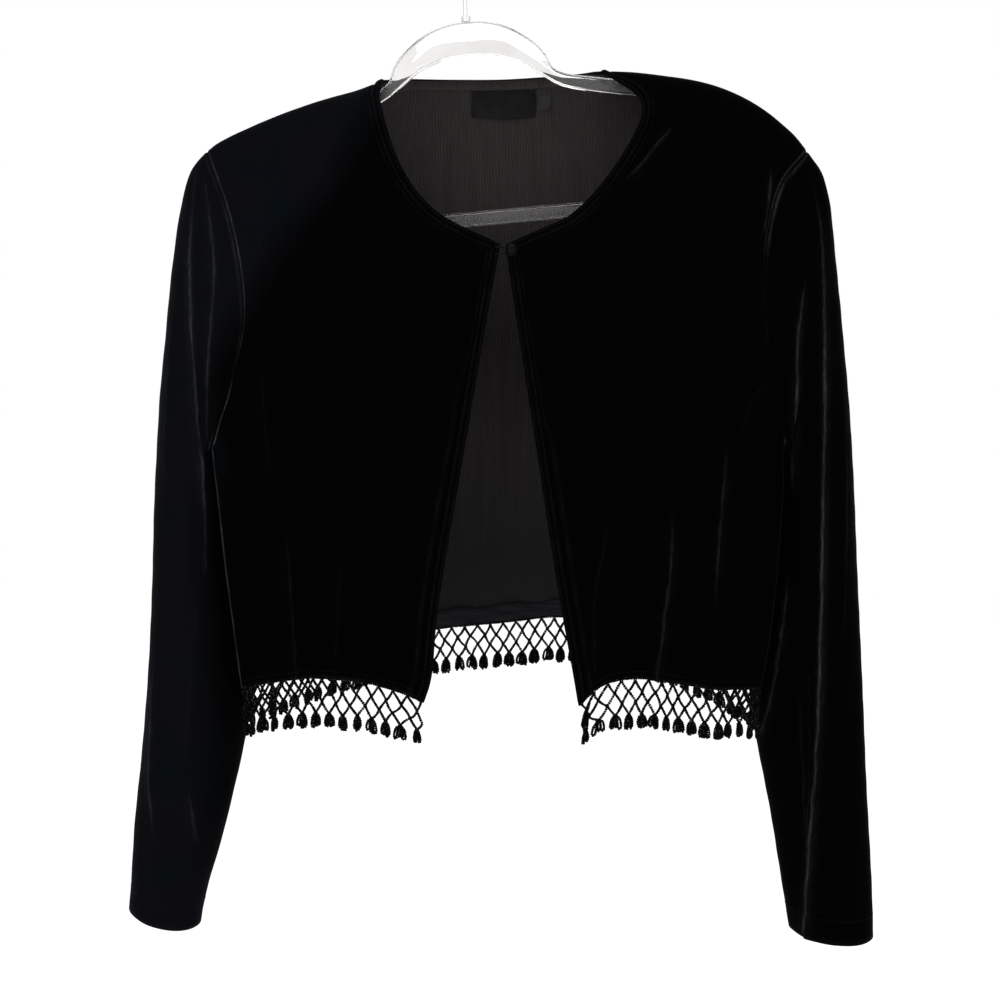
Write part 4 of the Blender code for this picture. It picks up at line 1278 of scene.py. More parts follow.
    def build(self, finishes: Finishes) -> Object:
        """Make the piece's mesh, with its painted sheen and ribs as attributes.

        Args:
            finishes: the finishes to dress it in.

        Returns:
            The piece.
        """
        rows, columns = self.points.shape[:2]
        size = rows * columns
        ids = np.arange(size).reshape(rows, columns)
        quads = grid_quads(ids, self.ring)
        inner_quads = quads[:, [0, 3, 2, 1]] + size
        middles, vertices, rim_sheens = self.rim_points(ids, size)
        faces = [*quads.tolist(), *inner_quads.tolist(), *self.rim_faces(ids, size, middles)]
        turned = self.nearest(self.free).reshape(-1)[quads].max(axis=1) < self.turn_up
        if self.ring:
            turned |= self.flat[..., 1].reshape(-1)[quads].min(axis=1) < UNDERARM_DROP + HEAD_FACING
        marks = np.concatenate([np.zeros(len(quads), int), np.where(turned, 0, 1),
                                np.zeros(len(faces) - 2 * len(quads), int)])
        thing = mesh_piece(self.name, vertices, turned_out(faces, quads, self.points, self.normals),
                           finishes.velvet, finishes.reverse)
        mesh = thing.data
        mesh.polygons.foreach_set("material_index", marks)
        mesh.set_sharp_from_angle(angle=self.RIM_ANGLE)
        around = (self.distance(Edge.FIRST) if self.ring else self.flat[..., 0]).reshape(-1)
        rest = np.zeros(len(vertices) - size)
        self.carry(mesh, "nap", np.concatenate([self.nap.reshape(-1), np.zeros(size), rim_sheens]))
        for layer in (0, 1):
            self.carry(mesh, f"off_{layer}", np.concatenate([self.off[layer].reshape(-1), rest + 1]))
            self.carry(mesh, f"crest_{layer}", np.concatenate([self.crest[layer].reshape(-1), rest]))
        self.carry(mesh, "rib", np.concatenate([around, around, rest[size:]]))
        return thing

    @staticmethod
    def carry(mesh: Mesh, name: str, values: Grid) -> None:
        """Give each vertex of a mesh a number."""
        carried = mesh.attributes.new(name, "FLOAT", "POINT")
        carried.data.foreach_set("value", np.ascontiguousarray(values, "f"))

    def rim_points(self, ids: Grid, size: int) -> tuple[dict[int, int], Grid, Grid]:
        """Points in the middle of the rounded free rims.

        Args:
            ids: vertex numbers of the outer grid.
            size: how many they are.

        Returns:
            The middle vertex of each outer vertex on a free edge, all vertices, and the middles' painted
            sheen.
        """
        outer = self.outer.reshape(-1, 3)
        inner = self.inner.reshape(-1, 3)
        pushes: dict[int, Grid] = {}
        for edge in self.free:
            grid = ids if edge.across_rows else ids.T
            line, next_line = (grid[-1], grid[-2]) if edge.at_end else (grid[0], grid[1])
            for here, inward in zip(line, next_line):
                step = outer[here] - outer[inward]
                pushes[here] = pushes.get(here, np.zeros(3)) + step / max(np.linalg.norm(step), 1e-9)
        middles = {int(here): 2 * size + count for count, here in enumerate(pushes)}
        places = [(outer[here] + inner[here]) / 2 + self.RIM * push / max(np.linalg.norm(push), 1e-9)
                  for here, push in pushes.items()]
        return middles, np.vstack([outer, inner, *places]), np.full(len(places), self.RIM_SHEEN)

    def rim_faces(self, ids: Grid, size: int, middles: dict[int, int]) -> list[list[int]]:
        """Faces that close the wall between its two grids.

        Args:
            ids: vertex numbers of the outer grid.
            size: how many they are.
            middles: middle vertices of the free rims.

        Returns:
            The faces, turned as the outer ones are.
        """
        faces = []
        for edge in self.edges():
            grid = ids if edge.across_rows else ids.T
            line = list(map(int, grid[-1] if edge.at_end else grid[0]))
            if edge in (Edge.LOW, Edge.LAST):
                line.reverse()
            if self.ring:
                line.append(line[0])
            for start, end in zip(line, line[1:]):
                if edge in self.free:
                    faces.append([start, end, middles[end], middles[start]])
                    faces.append([middles[start], middles[end], end + size, start + size])
                else:
                    far, near = ([middles[here]] if here in middles else [] for here in (end, start))
                    faces.append([start, end, *far, end + size, start + size, *near])
        return faces


def join_normals(pieces: Sequence[Cloth]) -> None:
    """Give pieces that are sewn together the same outward direction along their seams.

    Args:
        pieces: all the cut pieces. A sleeve counts as much as the body's pieces together do.
    """
    shared: dict[tuple[int, ...], dict[bool, Grid]] = {}
    for piece in pieces:
        for place, key in piece.boundary():
            family = shared.setdefault(key, {})
            family[piece.ring] = family.get(piece.ring, np.zeros(3)) + piece.normals[place]
    for piece in pieces:
        for place, key in piece.boundary():
            piece.normals[place] = unit(sum(unit(part) for part in shared[key].values()))


@dataclass
class Body:
    """Back, fronts, sleeves and the bands round the neck and down the front edges."""

    finishes: Finishes
    front_turn_up: float = 0.014
    band_turn_up: float = 0.02
    cuff_turn_up: float = 0.022
    band_crown: float = 0.0007

    def __post_init__(self) -> None:
        """Lay out every cut piece and shape it."""
        self.columns = 1 - (1 - crowded(PANEL_COLUMNS, 0.08)) ** 1.25
        self.rows_up = crowded(SIDE_ROWS, 0.05)
        self.rows_round = respaced(ARMHOLE_SPACING, ARMHOLE_ROWS)
        self.back, self.back_band = self.cut_back()
        self.fronts: dict[Wearer, Cloth] = {}
        self.bands: dict[Wearer, Cloth] = {}
        self.sleeves: dict[Wearer, Cloth] = {}
        for half in (RIGHT, LEFT):
            self.fronts[half.wearer], self.bands[half.wearer] = self.cut_front(half)
            self.sleeves[half.wearer] = self.cut_sleeve(half)
        join_normals(self.pieces())
        for piece in self.pieces():
            piece.shaped(self.relief(piece))

    def pieces(self) -> list[Cloth]:
        """Every cut piece."""
        return [self.back, self.back_band,
                *(piece for family in (self.fronts, self.bands, self.sleeves) for piece in family.values())]

    def outline(self, half: HalfPattern) -> Grid:
        """Side seam from the hem to the underarm, then the armhole up to the shoulder tip.

        Args:
            half: the outlines of that side.

        Returns:
            Points as (across, drop).
        """
        drops = half.hem[-1][1] + self.rows_up * (half.armhole[0][1] - half.hem[-1][1])
        width = np.array(half.width)
        seam = np.column_stack([np.interp(drops, width[:, 1], width[:, 0]), drops])
        armhole = at_shares(smooth_curve(half.armhole), self.rows_round)
        return signed(np.vstack([seam, armhole[1:]]), half)

    def rises(self, half: HalfPattern) -> Grid:
        """Height of each row as a share of the way from the hem to the shoulder."""
        drops = self.outline(half)[:, 1]
        return (drops[0] - drops) / (drops[0] - drops[-1])

    def shoulder(self, half: HalfPattern, start: float) -> Grid:
        """Shoulder seam from the neck to the tip."""
        across = start + self.columns * (half.wearer.value * half.armhole[-1][0] - start)
        return np.column_stack([across, ridge_drop(across)])

    def cut_front(self, half: HalfPattern) -> tuple[Cloth, Cloth]:
        """Cut one front and its edge band.

        Args:
            half: the outlines of that side.

        Returns:
            The front panel and its band.
        """
        sign = half.wearer.value
        neck = at_shares(smooth_curve(half.neck)[::-1], respaced(NECK_SPACING, ARMHOLE_ROWS))
        edge = at_shares(smooth_curve(half.edge)[::-1], self.rows_up)
        border = signed(np.vstack([edge, neck[1:]]), half)
        seam = inset(border, BAND_WIDTH, sign)
        fall = border[:, 1] - ridge_drop(border[:, 0])
        seam[:, 1] = np.maximum(seam[:, 1], ridge_drop(seam[:, 0]) + BAND_FALL_SHARE * fall)
        hem_curve = signed(smooth_curve(half.hem), half)
        order = np.argsort(hem_curve[:, 0])
        low_across = border[0, 0] + sign * BAND_WIDTH
        seam[0] = (low_across, np.interp(low_across, hem_curve[order, 0], hem_curve[order, 1]))
        high_across = border[-1, 0] + sign * BAND_WIDTH
        seam[-1] = (high_across, ridge_drop(high_across))
        seam[1:-1] = self.evened(seam)[1:-1]
        beyond = hem_curve[np.abs(hem_curve[:, 0]) > abs(seam[0, 0]) + 0.001]
        hem = at_shares(np.vstack([seam[:1], beyond]), self.columns)
        shoulder = self.shoulder(half, seam[-1, 0])
        flat = filled(hem, shoulder, seam, self.outline(half), self.columns, self.rises(half))
        panel = Cloth("front_" + half.wearer.word + "_cloth", placed(flat, front_y), flat, (Edge.LOW,),
                      turn_up=self.front_turn_up)
        share = crowded(BAND_COLUMNS, 0.04)[None, :, None]
        strip = border[:, None] * (1 - share) + seam[:, None] * share
        band = Cloth("band_" + half.wearer.word + "_cloth", placed(strip, front_y), strip,
                     (Edge.LOW, Edge.FIRST), turn_up=self.band_turn_up, crown=self.band_crown)
        return panel, band

    @staticmethod
    def evened(line: Grid) -> Grid:
        """The same line without the small kinks that a mitred offset leaves."""
        padded = np.vstack([line[:1]] * 2 + [line] + [line[-1:]] * 2)
        return sum(padded[start:start + len(line)] for start in range(5)) / 5

    def cut_back(self) -> tuple[Cloth, Cloth]:
        """Cut the back and the band round the back of its neck.

        Returns:
            The back panel and its band.
        """
        ends = (BACK_NECK[0][0] - BAND_WIDTH, BACK_NECK[-1][0] + BAND_WIDTH)
        neck = at_shares(smooth_curve(BACK_NECK), np.linspace(0, 1, NECK_COLUMNS + 1))
        seam = inset(neck, BAND_WIDTH, 1)
        seam[0] = (ends[0], ridge_drop(ends[0]))
        seam[-1] = (ends[1], ridge_drop(ends[1]))
        shoulders = [self.shoulder(half, end) for half, end in zip((RIGHT, LEFT), ends)]
        top = np.vstack([shoulders[0][::-1], seam[1:-1], shoulders[1]])
        lower = [half.wearer.value * (HEM_NECK_ACROSS + (half.hem[-1][0] - HEM_NECK_ACROSS) * self.columns)
                 for half in (RIGHT, LEFT)]
        middle = np.linspace(-HEM_NECK_ACROSS, HEM_NECK_ACROSS, NECK_COLUMNS + 1)[1:-1]
        across = np.concatenate([lower[0][::-1], middle, lower[1]])
        bottom = np.column_stack([across, np.interp(across, SMOOTH_BACK_HEM[:, 0], SMOOTH_BACK_HEM[:, 1])])
        shares = (across - across[0]) / (across[-1] - across[0])
        flat = filled(bottom, top, self.outline(RIGHT), self.outline(LEFT), shares, self.rises(RIGHT))
        panel = Cloth("back_cloth", placed(flat, back_y), flat, (Edge.LOW,))
        share = crowded(BAND_COLUMNS, 0.04)[:, None, None]
        strip = seam[None] * (1 - share) + neck[None] * share
        band = Cloth("band_back_neck_cloth", placed(strip, back_y), strip, (Edge.HIGH,),
                     crown=self.band_crown)
        return panel, band

    def cut_sleeve(self, half: HalfPattern) -> Cloth:
        """Cut one sleeve as rings from the armhole down to the cuff.

        Args:
            half: the outlines of that side.

        Returns:
            The sleeve.
        """
        sign = half.wearer.value
        front = self.fronts[half.wearer]
        column = -1 if sign > 0 else 0
        loop = [(front.points[SIDE_ROWS:, -1][::-1], front.flat[SIDE_ROWS:, -1][::-1]),
                (self.back.points[SIDE_ROWS + 1:-1, column], self.back.flat[SIDE_ROWS + 1:-1, column])]
        armhole = np.vstack([part[0] for part in loop])
        armhole_flat = np.vstack([part[1] for part in loop]) * (sign, 1)
        turns = np.linspace(0, 2 * math.pi, len(armhole), endpoint=False)
        shares = (np.arange(SLEEVE_RINGS + 1) / SLEEVE_RINGS) ** RING_CROWDING
        high = at_shares(smooth_curve(half.sleeve_outer), shares)
        low = at_shares(smooth_curve(half.sleeve_inner), shares)
        table = np.array(SLEEVE_DEPTHS)
        middle, deep, skew = (np.interp(shares, table[:, 0], depths)[:, None] for depths in table.T[1:])
        cosines = np.cos(turns)[None]
        centre = (high + low) / 2
        reach = (high - low) / 2
        flat = centre[:, None] + reach[:, None] * cosines[..., None]
        depth = middle - skew * cosines - deep * np.sin(turns)[None]
        held = np.clip(1 - shares / HELD_SHARE, 0, 1)[:, None] * np.clip(-cosines, 0, 1)
        depth = depth + held * (armhole[None, :, 1] - depth)
        joined = (1 - (1 - np.clip(shares / JOINED_SHARE, 0, 1)) ** 2)[:, None]
        flat = armhole_flat[None] + (flat - armhole_flat[None]) * joined[..., None]
        depth = armhole[None, :, 1] + (depth - armhole[None, :, 1]) * joined
        flat = flat * (sign, 1)
        points = np.stack([CENTRE_X + flat[..., 0], depth, -flat[..., 1]], axis=-1)
        return Cloth("sleeve_" + half.wearer.word + "_cloth", points, flat, (Edge.HIGH,), ring=True,
                     turn_up=self.cuff_turn_up)

    def relief(self, piece: Cloth) -> Relief:
        """Height and painted sheen of a piece's creases, slight waves, seams and edges.

        Args:
            piece: the cut piece.

        Returns:
            The cloth's relief.
        """
        key = piece.name.removesuffix("_cloth")
        outward = -1 if "right" in key else 1
        creases = CREASES.get(key, ())
        if piece.ring:
            turns = np.sin(np.linspace(0, 2 * math.pi, piece.points.shape[1], endpoint=False))[None]
            front, back = (crease_relief([crease for crease in creases if crease.facing is facing],
                                         piece.flat, outward) for facing in (Facing.FRONT, Facing.BACK))
            near = [eased(weight * 2.2 + 0.3) for weight in (turns, -turns)]
            clear = [eased(weight / 0.2) for weight in (turns, -turns)]
            relief = Relief(front.height * near[0] + back.height * near[1],
                            front.glow * near[0] + back.glow * near[1],
                            np.where(turns > 0, front.off, back.off),
                            front.crest * clear[0] + back.crest * clear[1])
        else:
            relief = crease_relief(creases, piece.flat, outward)
        relief.height = relief.height + slight_waves(piece.flat, len(key) * 1.7)
        drop = piece.flat[..., 1]
        # painted sheen: light lines along the seams and the free edges
        if "band" in key:
            relief.seam, relief.free = 0.04, 0.03
        elif "back" in key:
            relief.seam, relief.free = 0.06, 0.05
        else:
            relief.free = 0.05
            low = eased((drop - UNDERARM_DROP + 0.03) / 0.03)
            if "left" in key:
                relief.seam = 0.03 + 0.30 * eased((0.262 - drop) / 0.06)
            else:
                relief.seam = (0.36 + 0.10 * np.sin(drop * 55 + 1)) * (1 - 0.7 * bell(drop - 0.325, 0.015))
                relief.seam = relief.seam * (0.35 + 0.65 * low if piece.ring else 1 + 0.9 * low)
            relief.inset = 0.0017 + 0.0036 * low
            if key == "front_right":
                relief.inset = relief.inset + 0.0045 * bell(drop - 0.347, 0.020)
            relief.spread = 0.0007 + 0.0007 * low
            relief.seam = np.where(np.abs(piece.flat[..., 0]) > 0.13, relief.seam, 0.03)
        return relief

    def dress(self) -> dict[str, Object]:
        """Build every cut piece.

        Returns:
            The pieces by the names of the solids that they replace.
        """
        built = {}
        for piece in self.pieces():
            node = piece.name.removesuffix("_cloth")
            built[node] = publish(piece.build(self.finishes), "velvet", node)
            LOG.info("%s shows %.4f m2 of cloth", node, half_surface(built[node]))
        return built


def half_surface(thing: Object) -> float:
    """Half the surface of a closed piece."""
    return sum(face.area for face in thing.data.polygons) / 2


@dataclass
class BeadString:
    """Seed beads gathered along many paths and built as one mesh."""

    name: str
    diameter: float = 0.0022
    length: float = 0.00172
    step: float = 0.00168
    sides: int = 6
    seed: int = 4

    # Height and width of each of a bead's rings, as shares of its length and half width
    BEAD = ((-0.5, 0.68), (-0.30, 1.0), (0.30, 1.0), (0.5, 0.68))

    def __post_init__(self) -> None:
        """Start with no beads."""
        self.places: list[Grid] = []
        self.ways: list[Grid] = []
        self.chance = np.random.default_rng(self.seed)

    def thread(self, path: Grid) -> None:
        """Thread beads on one path.

        Args:
            path: its points in space.
        """
        run = lengths_along(path)[-1]
        count = max(1, round(run / self.step))
        middles = (np.arange(count) + 0.5) * run / count
        self.places.append(at_lengths(path, middles))
        ahead = at_lengths(path, np.minimum(middles + 0.0004, run))
        self.ways.append(unit(ahead - at_lengths(path, np.maximum(middles - 0.0004, 0))))

    def build(self, material: Material) -> Object:
        """Make the mesh of all the beads.

        Args:
            material: their finish.

        Returns:
            The piece.
        """
        places = np.vstack(self.places)
        ways = np.vstack(self.ways)
        count = len(places)
        turns = np.linspace(0, 2 * math.pi, self.sides, endpoint=False)
        shape = np.array([(width * math.cos(turn), width * math.sin(turn), height)
                          for height, width in self.BEAD for turn in turns])
        aside = unit(np.cross(ways, np.array([0.05, 1.0, 0.02])))
        ahead = np.cross(ways, aside)
        roll = self.chance.uniform(0, 1, count)[:, None]
        aside, ahead = (aside * np.cos(roll) + ahead * np.sin(roll),
                        ahead * np.cos(roll) - aside * np.sin(roll))
        wide = (self.diameter / 2 * self.chance.uniform(0.88, 1.08, count))[:, None, None]
        long = (self.length * self.chance.uniform(0.88, 1.06, count))[:, None, None]
        round_it = shape[None, :, :1] * aside[:, None] + shape[None, :, 1:2] * ahead[:, None]
        vertices = places[:, None] + wide * round_it + long * shape[None, :, 2:] * ways[:, None]
        faces = ring_faces(len(self.BEAD), self.sides)
        if np.dot(np.cross(aside[0], ahead[0]), ways[0]) < 0:
            faces = [face[::-1] for face in faces]
        all_faces = [[corner + number * len(shape) for corner in face]
                     for number in range(count) for face in faces]
        thing = mesh_piece(self.name, vertices.reshape(-1, 3), all_faces, material)
        thing.data.set_sharp_from_angle(angle=math.radians(75))
        return thing


@dataclass
class NetTrim:
    """Beaded net that hangs from a hem, with a tassel of bead loops at each low crossing.

    knots are tangles as (share of the hem, half width), and low_end is true where the hem's first end is at
    the centre front, where the tassels hang lower.
    """

    name: str
    hem: Grid
    low_end: bool = False
    knots: tuple[Pair, ...] = ()
    pitch: float = 0.010
    level: float = 0.0078
    levels: int = 3
    margin: float = 0.002
    head: float = 0.0020
    seed: int = 7

    # Drift, share of the length, and side at the stops of a tassel's hairpin loop
    HAIRPIN = ((0.10, 0.02, 0.2), (0.70, 0.28, 0.8), (0.98, 0.72, 1.0), (1.0, 0.92, 0.7), (1.0, 1.0, 0.0),
               (1.0, 0.92, -0.7), (0.98, 0.72, -1.0), (0.70, 0.28, -0.8), (0.10, 0.02, -0.2))
    PLAY = (0.00045, 0.00040, 0.00020)
    FREE_DROP = 0.014
    KNOT_PULL = 0.55
    TANGLED_STRINGS = 6

    def __post_init__(self) -> None:
        """Measure the hem and space the net along it."""
        self.run = lengths_along(self.hem[:, :2])
        self.length = self.run[-1]
        self.count = round((self.length - 2 * self.margin) / self.pitch)
        self.spacing = (self.length - 2 * self.margin) / self.count
        self.chance = np.random.default_rng(self.seed)
        self.beads = BeadString(self.name, seed=self.seed)

    def at(self, local: Grid) -> Grid:
        """Places in space of places on the net.

        Args:
            local: places as (along, down, out).

        Returns:
            Points in space.
        """
        along, down, out = local.T
        hang = np.clip(down / self.FREE_DROP, 0, 1)
        for share, width in self.knots:
            middle = share * self.length
            along = along + (middle - along) * self.KNOT_PULL * bell(along - middle, width) * hang
        if self.low_end:
            down = down * (1 - 0.14 * bell(along, 0.018))
            along = along - 0.0026 * bell(along - 0.010, 0.009) * hang
        base, ahead, behind = (
            np.column_stack([np.interp(place, self.run, self.hem[:, axis]) for axis in range(3)])
            for place in (along, along + 0.002, along - 0.002))
        way = unit((ahead - behind)[:, :2])
        return base + np.column_stack([-way[:, 1] * out, way[:, 0] * out, -down])

    def crossing(self, level: int, index: int) -> Grid:
        """Place of one crossing, with a little play.

        Args:
            level: its row of the net, counted down from the header.
            index: its number in that row.

        Returns:
            The place as (along, down, out).
        """
        play = self.chance.normal(0, 1, 3) * self.PLAY * min(level, 1)
        along = self.margin + self.spacing * (index + 0.5 * (level % 2))
        return np.array([along, self.head + self.level * level, 0]) + play

    def string(self, start: Grid, end: Grid, out: float) -> None:
        """Thread beads between two crossings, on a slight bow.

        Args:
            start: the upper crossing.
            end: the lower crossing.
            out: how far the string stands out in its middle.
        """
        way = end - start
        aside = np.array([-way[1], way[0], 0]) * self.chance.uniform(-0.07, 0.07)
        share = np.linspace(0, 1, 8)[:, None]
        arch = 4 * share * (1 - share)
        self.beads.thread(self.at(start + way * share + arch * (aside + np.array([0, 0.0003, out]))))

    def tassel(self, top: Grid) -> None:
        """Hang four hairpin loops of beads and a band of beads.

        Args:
            top: the low crossing that carries them.
        """
        for place in (-1, -0.35, 0.35, 1):
            long = self.chance.uniform(0.0084, 0.0114)
            wide = self.chance.uniform(0.0008, 0.0013)
            foot = place * 0.0023 + self.chance.normal(0, 0.0005)
            out = 0.0006 * place + self.chance.normal(0, 0.0003)
            path = [(top[0] + foot * drift + wide * side, top[1] + long * down, top[2] + out * drift)
                    for drift, down, side in self.HAIRPIN]
            self.beads.thread(self.at(smooth_curve(path, 4)))
        self.beads.thread(self.at(top + np.array([[-0.0016, 0.0008, 0.0007], [0.0016, 0.0010, 0.0007]])))

    def tangle(self, share: float, width: float) -> None:
        """Thread strings that are caught in one another.

        Args:
            share: their place along the hem, as a share of it.
            width: half the width that they take.
        """
        for _ in range(self.TANGLED_STRINGS):
            count = 5
            along = share * self.length + self.chance.uniform(-0.8, 0.8, count) * width
            down = np.sort(self.chance.uniform(0.007, 0.030, count))
            out = self.chance.uniform(-0.0012, 0.0020, count)
            self.beads.thread(self.at(smooth_curve(np.column_stack([along, down, out]), 5)))

    def build(self, finishes: Finishes) -> Object:
        """String the whole net.

        Args:
            finishes: the finishes to dress it in.

        Returns:
            The piece.
        """
        rows = [[self.crossing(level, index) for index in range(self.count + (level + 1) % 2)]
                for level in range(self.levels + 1)]
        header = np.column_stack([np.linspace(0.0008, self.length - 0.0008, 160), np.full(160, 0.0009),
                                  np.zeros(160)])
        self.beads.thread(self.at(header))
        for level, (upper, lower) in enumerate(zip(rows, rows[1:])):
            for index, low in enumerate(lower):
                left = index if level % 2 == 0 else index - 1
                if left >= 0:
                    self.string(upper[left], low, 0.0004)
                if left + 1 < len(upper):
                    self.string(upper[left + 1], low, -0.0004)
        for top in rows[-1]:
            self.tassel(top)
        for knot in self.knots:
            self.tangle(*knot)
        return self.beads.build(finishes.beads)


def tube(path: Grid, radius: float, sides: int) -> tuple[Grid, list[list[int]]]:
    """Round cord along a path, narrowed at its ends.

    Args:
        path: its middle line.
        radius: half its thickness.
        sides: how many faces go round it.

    Returns:
        Vertices and faces.
    """
    ways = unit(np.gradient(path, axis=0))
    aside = unit(np.cross(ways, np.array([0.31, 0.22, 0.92])))
    ahead = np.cross(ways, aside)
    turns = np.linspace(0, 2 * math.pi, sides, endpoint=False)
    width = np.full(len(path), radius)
    width[[0, -1]] *= 0.45
    rings = path[:, None] + width[:, None, None] * (aside[:, None] * np.cos(turns)[None, :, None]
                                                    + ahead[:, None] * np.sin(turns)[None, :, None])
    return rings.reshape(-1, 3), ring_faces(len(path), sides)


@dataclass
class Sewing:
    """Running stitches laid along lines of the cloth and built as one mesh."""

    name: str
    length: float = 0.0022
    pitch: float = 0.0031
    radius: float = 0.00016
    bow: float = 0.00022
    sunk: float = 0.00004
    sides: int = 5

    def __post_init__(self) -> None:
        """Start with no stitch."""
        self.vertices: list[Grid] = []
        self.faces: list[list[int]] = []
        self.count = 0

    def add(self, vertices: Grid, faces: Sequence[Sequence[int]]) -> None:
        """Add one thread.

        Args:
            vertices: its points.
            faces: vertex numbers of its faces.
        """
        self.faces += [[corner + self.count for corner in face] for face in faces]
        self.vertices.append(vertices)
        self.count += len(vertices)

    def row(self, points: Grid, normals: Grid) -> None:
        """Sew one row of stitches along a line on the cloth.

        Args:
            points: the line.
            normals: outward directions along it.
        """
        run = lengths_along(points)
        shares = np.linspace(0, 1, 4)
        bow = (np.sin(math.pi * shares) * self.bow - self.sunk)[:, None]
        for start in np.arange(self.pitch, run[-1] - self.pitch, self.pitch):
            places = at_lengths(points, start + shares * self.length)
            rise = np.interp(start, run, np.arange(len(run)))
            lift = normals[min(int(rise), len(normals) - 1)]
            self.add(*tube(places + lift * bow, self.radius, self.sides))

    def build(self, material: Material) -> Object:
        """Make the mesh of all the stitches."""
        return mesh_piece(self.name, np.vstack(self.vertices), self.faces, material)


@dataclass
class HemAllowance:
    """Turned-up allowance inside the back's hem, with a ragged overcast upper edge.

    ragged holds the length and the height of the edge's long and short waves.
    """

    height: float = 0.0125
    thickness: float = 0.0008
    rows: int = 9
    stitch_pitch: float = 0.0017
    ragged: tuple[Pair, ...] = ((0.012, 0.0013), (0.0022, 0.00055))
    longest: float = 0.6
    seed: int = 11

    def build(self, back: Cloth, finishes: Finishes) -> tuple[Object, Object]:
        """Lay the strip on the back's inner face and overcast its edge.

        Args:
            back: the back panel.
            finishes: the finishes to dress it in.

        Returns:
            The strip, and the thread on its edge.
        """
        chance = np.random.default_rng(self.seed)
        columns = back.points.shape[1]
        run = lengths_along(back.inner[0])
        ragged = np.zeros(columns)
        for length, size in self.ragged:
            stops = np.arange(0, self.longest, length)
            ragged += np.interp(run, stops, chance.normal(0, size, len(stops)))
        faces_in = []
        for row, share in enumerate(np.linspace(0.04, 1, self.rows)):
            height = share * (self.height + ragged * share)
            line, outward = back.line_at(Edge.LOW, height, back.inner)
            lift = 0.00015 + 0.0006 * share ** 3 * (1 + np.sin(run * 140 + 1))
            faces_in.append((line - outward * lift[:, None], outward))
        keep = slice(4, columns - 4)
        near = np.array([line[keep] for line, _ in faces_in])
        far = near - np.array([outward[keep] for _, outward in faces_in]) * self.thickness
        strip = self.closed("back_hem_allowance", near, far, finishes.allowance)
        thread = Sewing("allowance_overcasting")
        top, top_out = far[-1], faces_in[-1][1][keep]
        below = far[-1] + (far[-4] - far[-1]) * 0.55
        top_run = lengths_along(top)
        for place in np.arange(0.002, top_run[-1] - 0.003, self.stitch_pitch):
            high = at_lengths(top, np.array([place]))[0]
            low = at_lengths(below, np.array([(place + 0.0009) * lengths_along(below)[-1] / top_run[-1]]))[0]
            out = top_out[min(int(np.interp(place, top_run, np.arange(len(top)))), len(top) - 1)]
            stitch = np.array([high + out * self.thickness, high - out * 0.0001, low - out * 0.0002])
            thread.add(*tube(stitch, thread.radius, thread.sides))
        return strip, thread.build(finishes.thread)

    @staticmethod
    def closed(name: str, near: Grid, far: Grid, material: Material) -> Object:
        """Closed thin slab between two grids of points.

        Args:
            name: the piece's name.
            near: the grid of its one face.
            far: the grid of its other face.
            material: its finish.

        Returns:
            The piece.
        """
        rows, columns = near.shape[:2]
        size = rows * columns
        ids = np.arange(size).reshape(rows, columns)
        quads = grid_quads(ids)
        around = [*ids[0, :-1], *ids[:-1, -1], *ids[-1, :0:-1], *ids[:0:-1, 0]]
        rim = [[around[i], around[i - 1], around[i - 1] + size, around[i] + size] for i in range(len(around))]
        faces = [*quads.tolist(), *(quads[:, ::-1] + size).tolist(), *rim]
        thing = mesh_piece(name, np.vstack([near.reshape(-1, 3), far.reshape(-1, 3)]),
                           turned_out(faces, quads, near, near - far), material)
        thing.data.set_sharp_from_angle(angle=math.radians(50))
        return thing


@dataclass
class NeckLabel:
    """Blank woven label or tab, sewn to the back's inner face at its two ends and lifting along its foot.

    sag is how far its foot hangs down in the middle, and lift how far it stands out there.
    """

    name: str
    across: Pair
    drops: Pair
    sag: float
    lift: float
    thickness: float = 0.0006
    gap: float = 0.0005

    def build(self, material: Material, thread: Material,
              ) -> tuple[Object, Object]:
        """Weave the label and sew it down.

        Args:
            material: the label's finish.
            thread: the stitches' finish.

        Returns:
            The label, and the stitches at its ends.
        """
        along = np.linspace(0, 1, 61)
        down = np.linspace(0, 1, 25)
        share_across, share_down = np.meshgrid(along, down)
        bow = 4 * share_across * (1 - share_across)
        across = self.across[0] + share_across * (self.across[1] - self.across[0])
        drop = self.drops[0] + share_down * (self.drops[1] - self.drops[0]) + self.sag * bow * share_down
        flat = np.stack([across, drop], axis=-1)
        points, inward = inward_frames(flat, back_y)
        stand = WALL - slight_waves(flat, 4 * 1.7) + self.gap + self.lift * bow * share_down ** 2
        stand = stand + 0.00025 * np.sin(share_across * 17) * share_down
        near = points + inward * stand[..., None]
        far = near + inward * self.thickness
        label = HemAllowance.closed(self.name, near, far, material)
        sewing = Sewing(self.name + "_stitches", length=0.0012, pitch=0.0019, radius=0.00014)
        for column in (2, -3):
            sewing.row(far[:, column], inward[:, column])
        return label, sewing.build(thread)


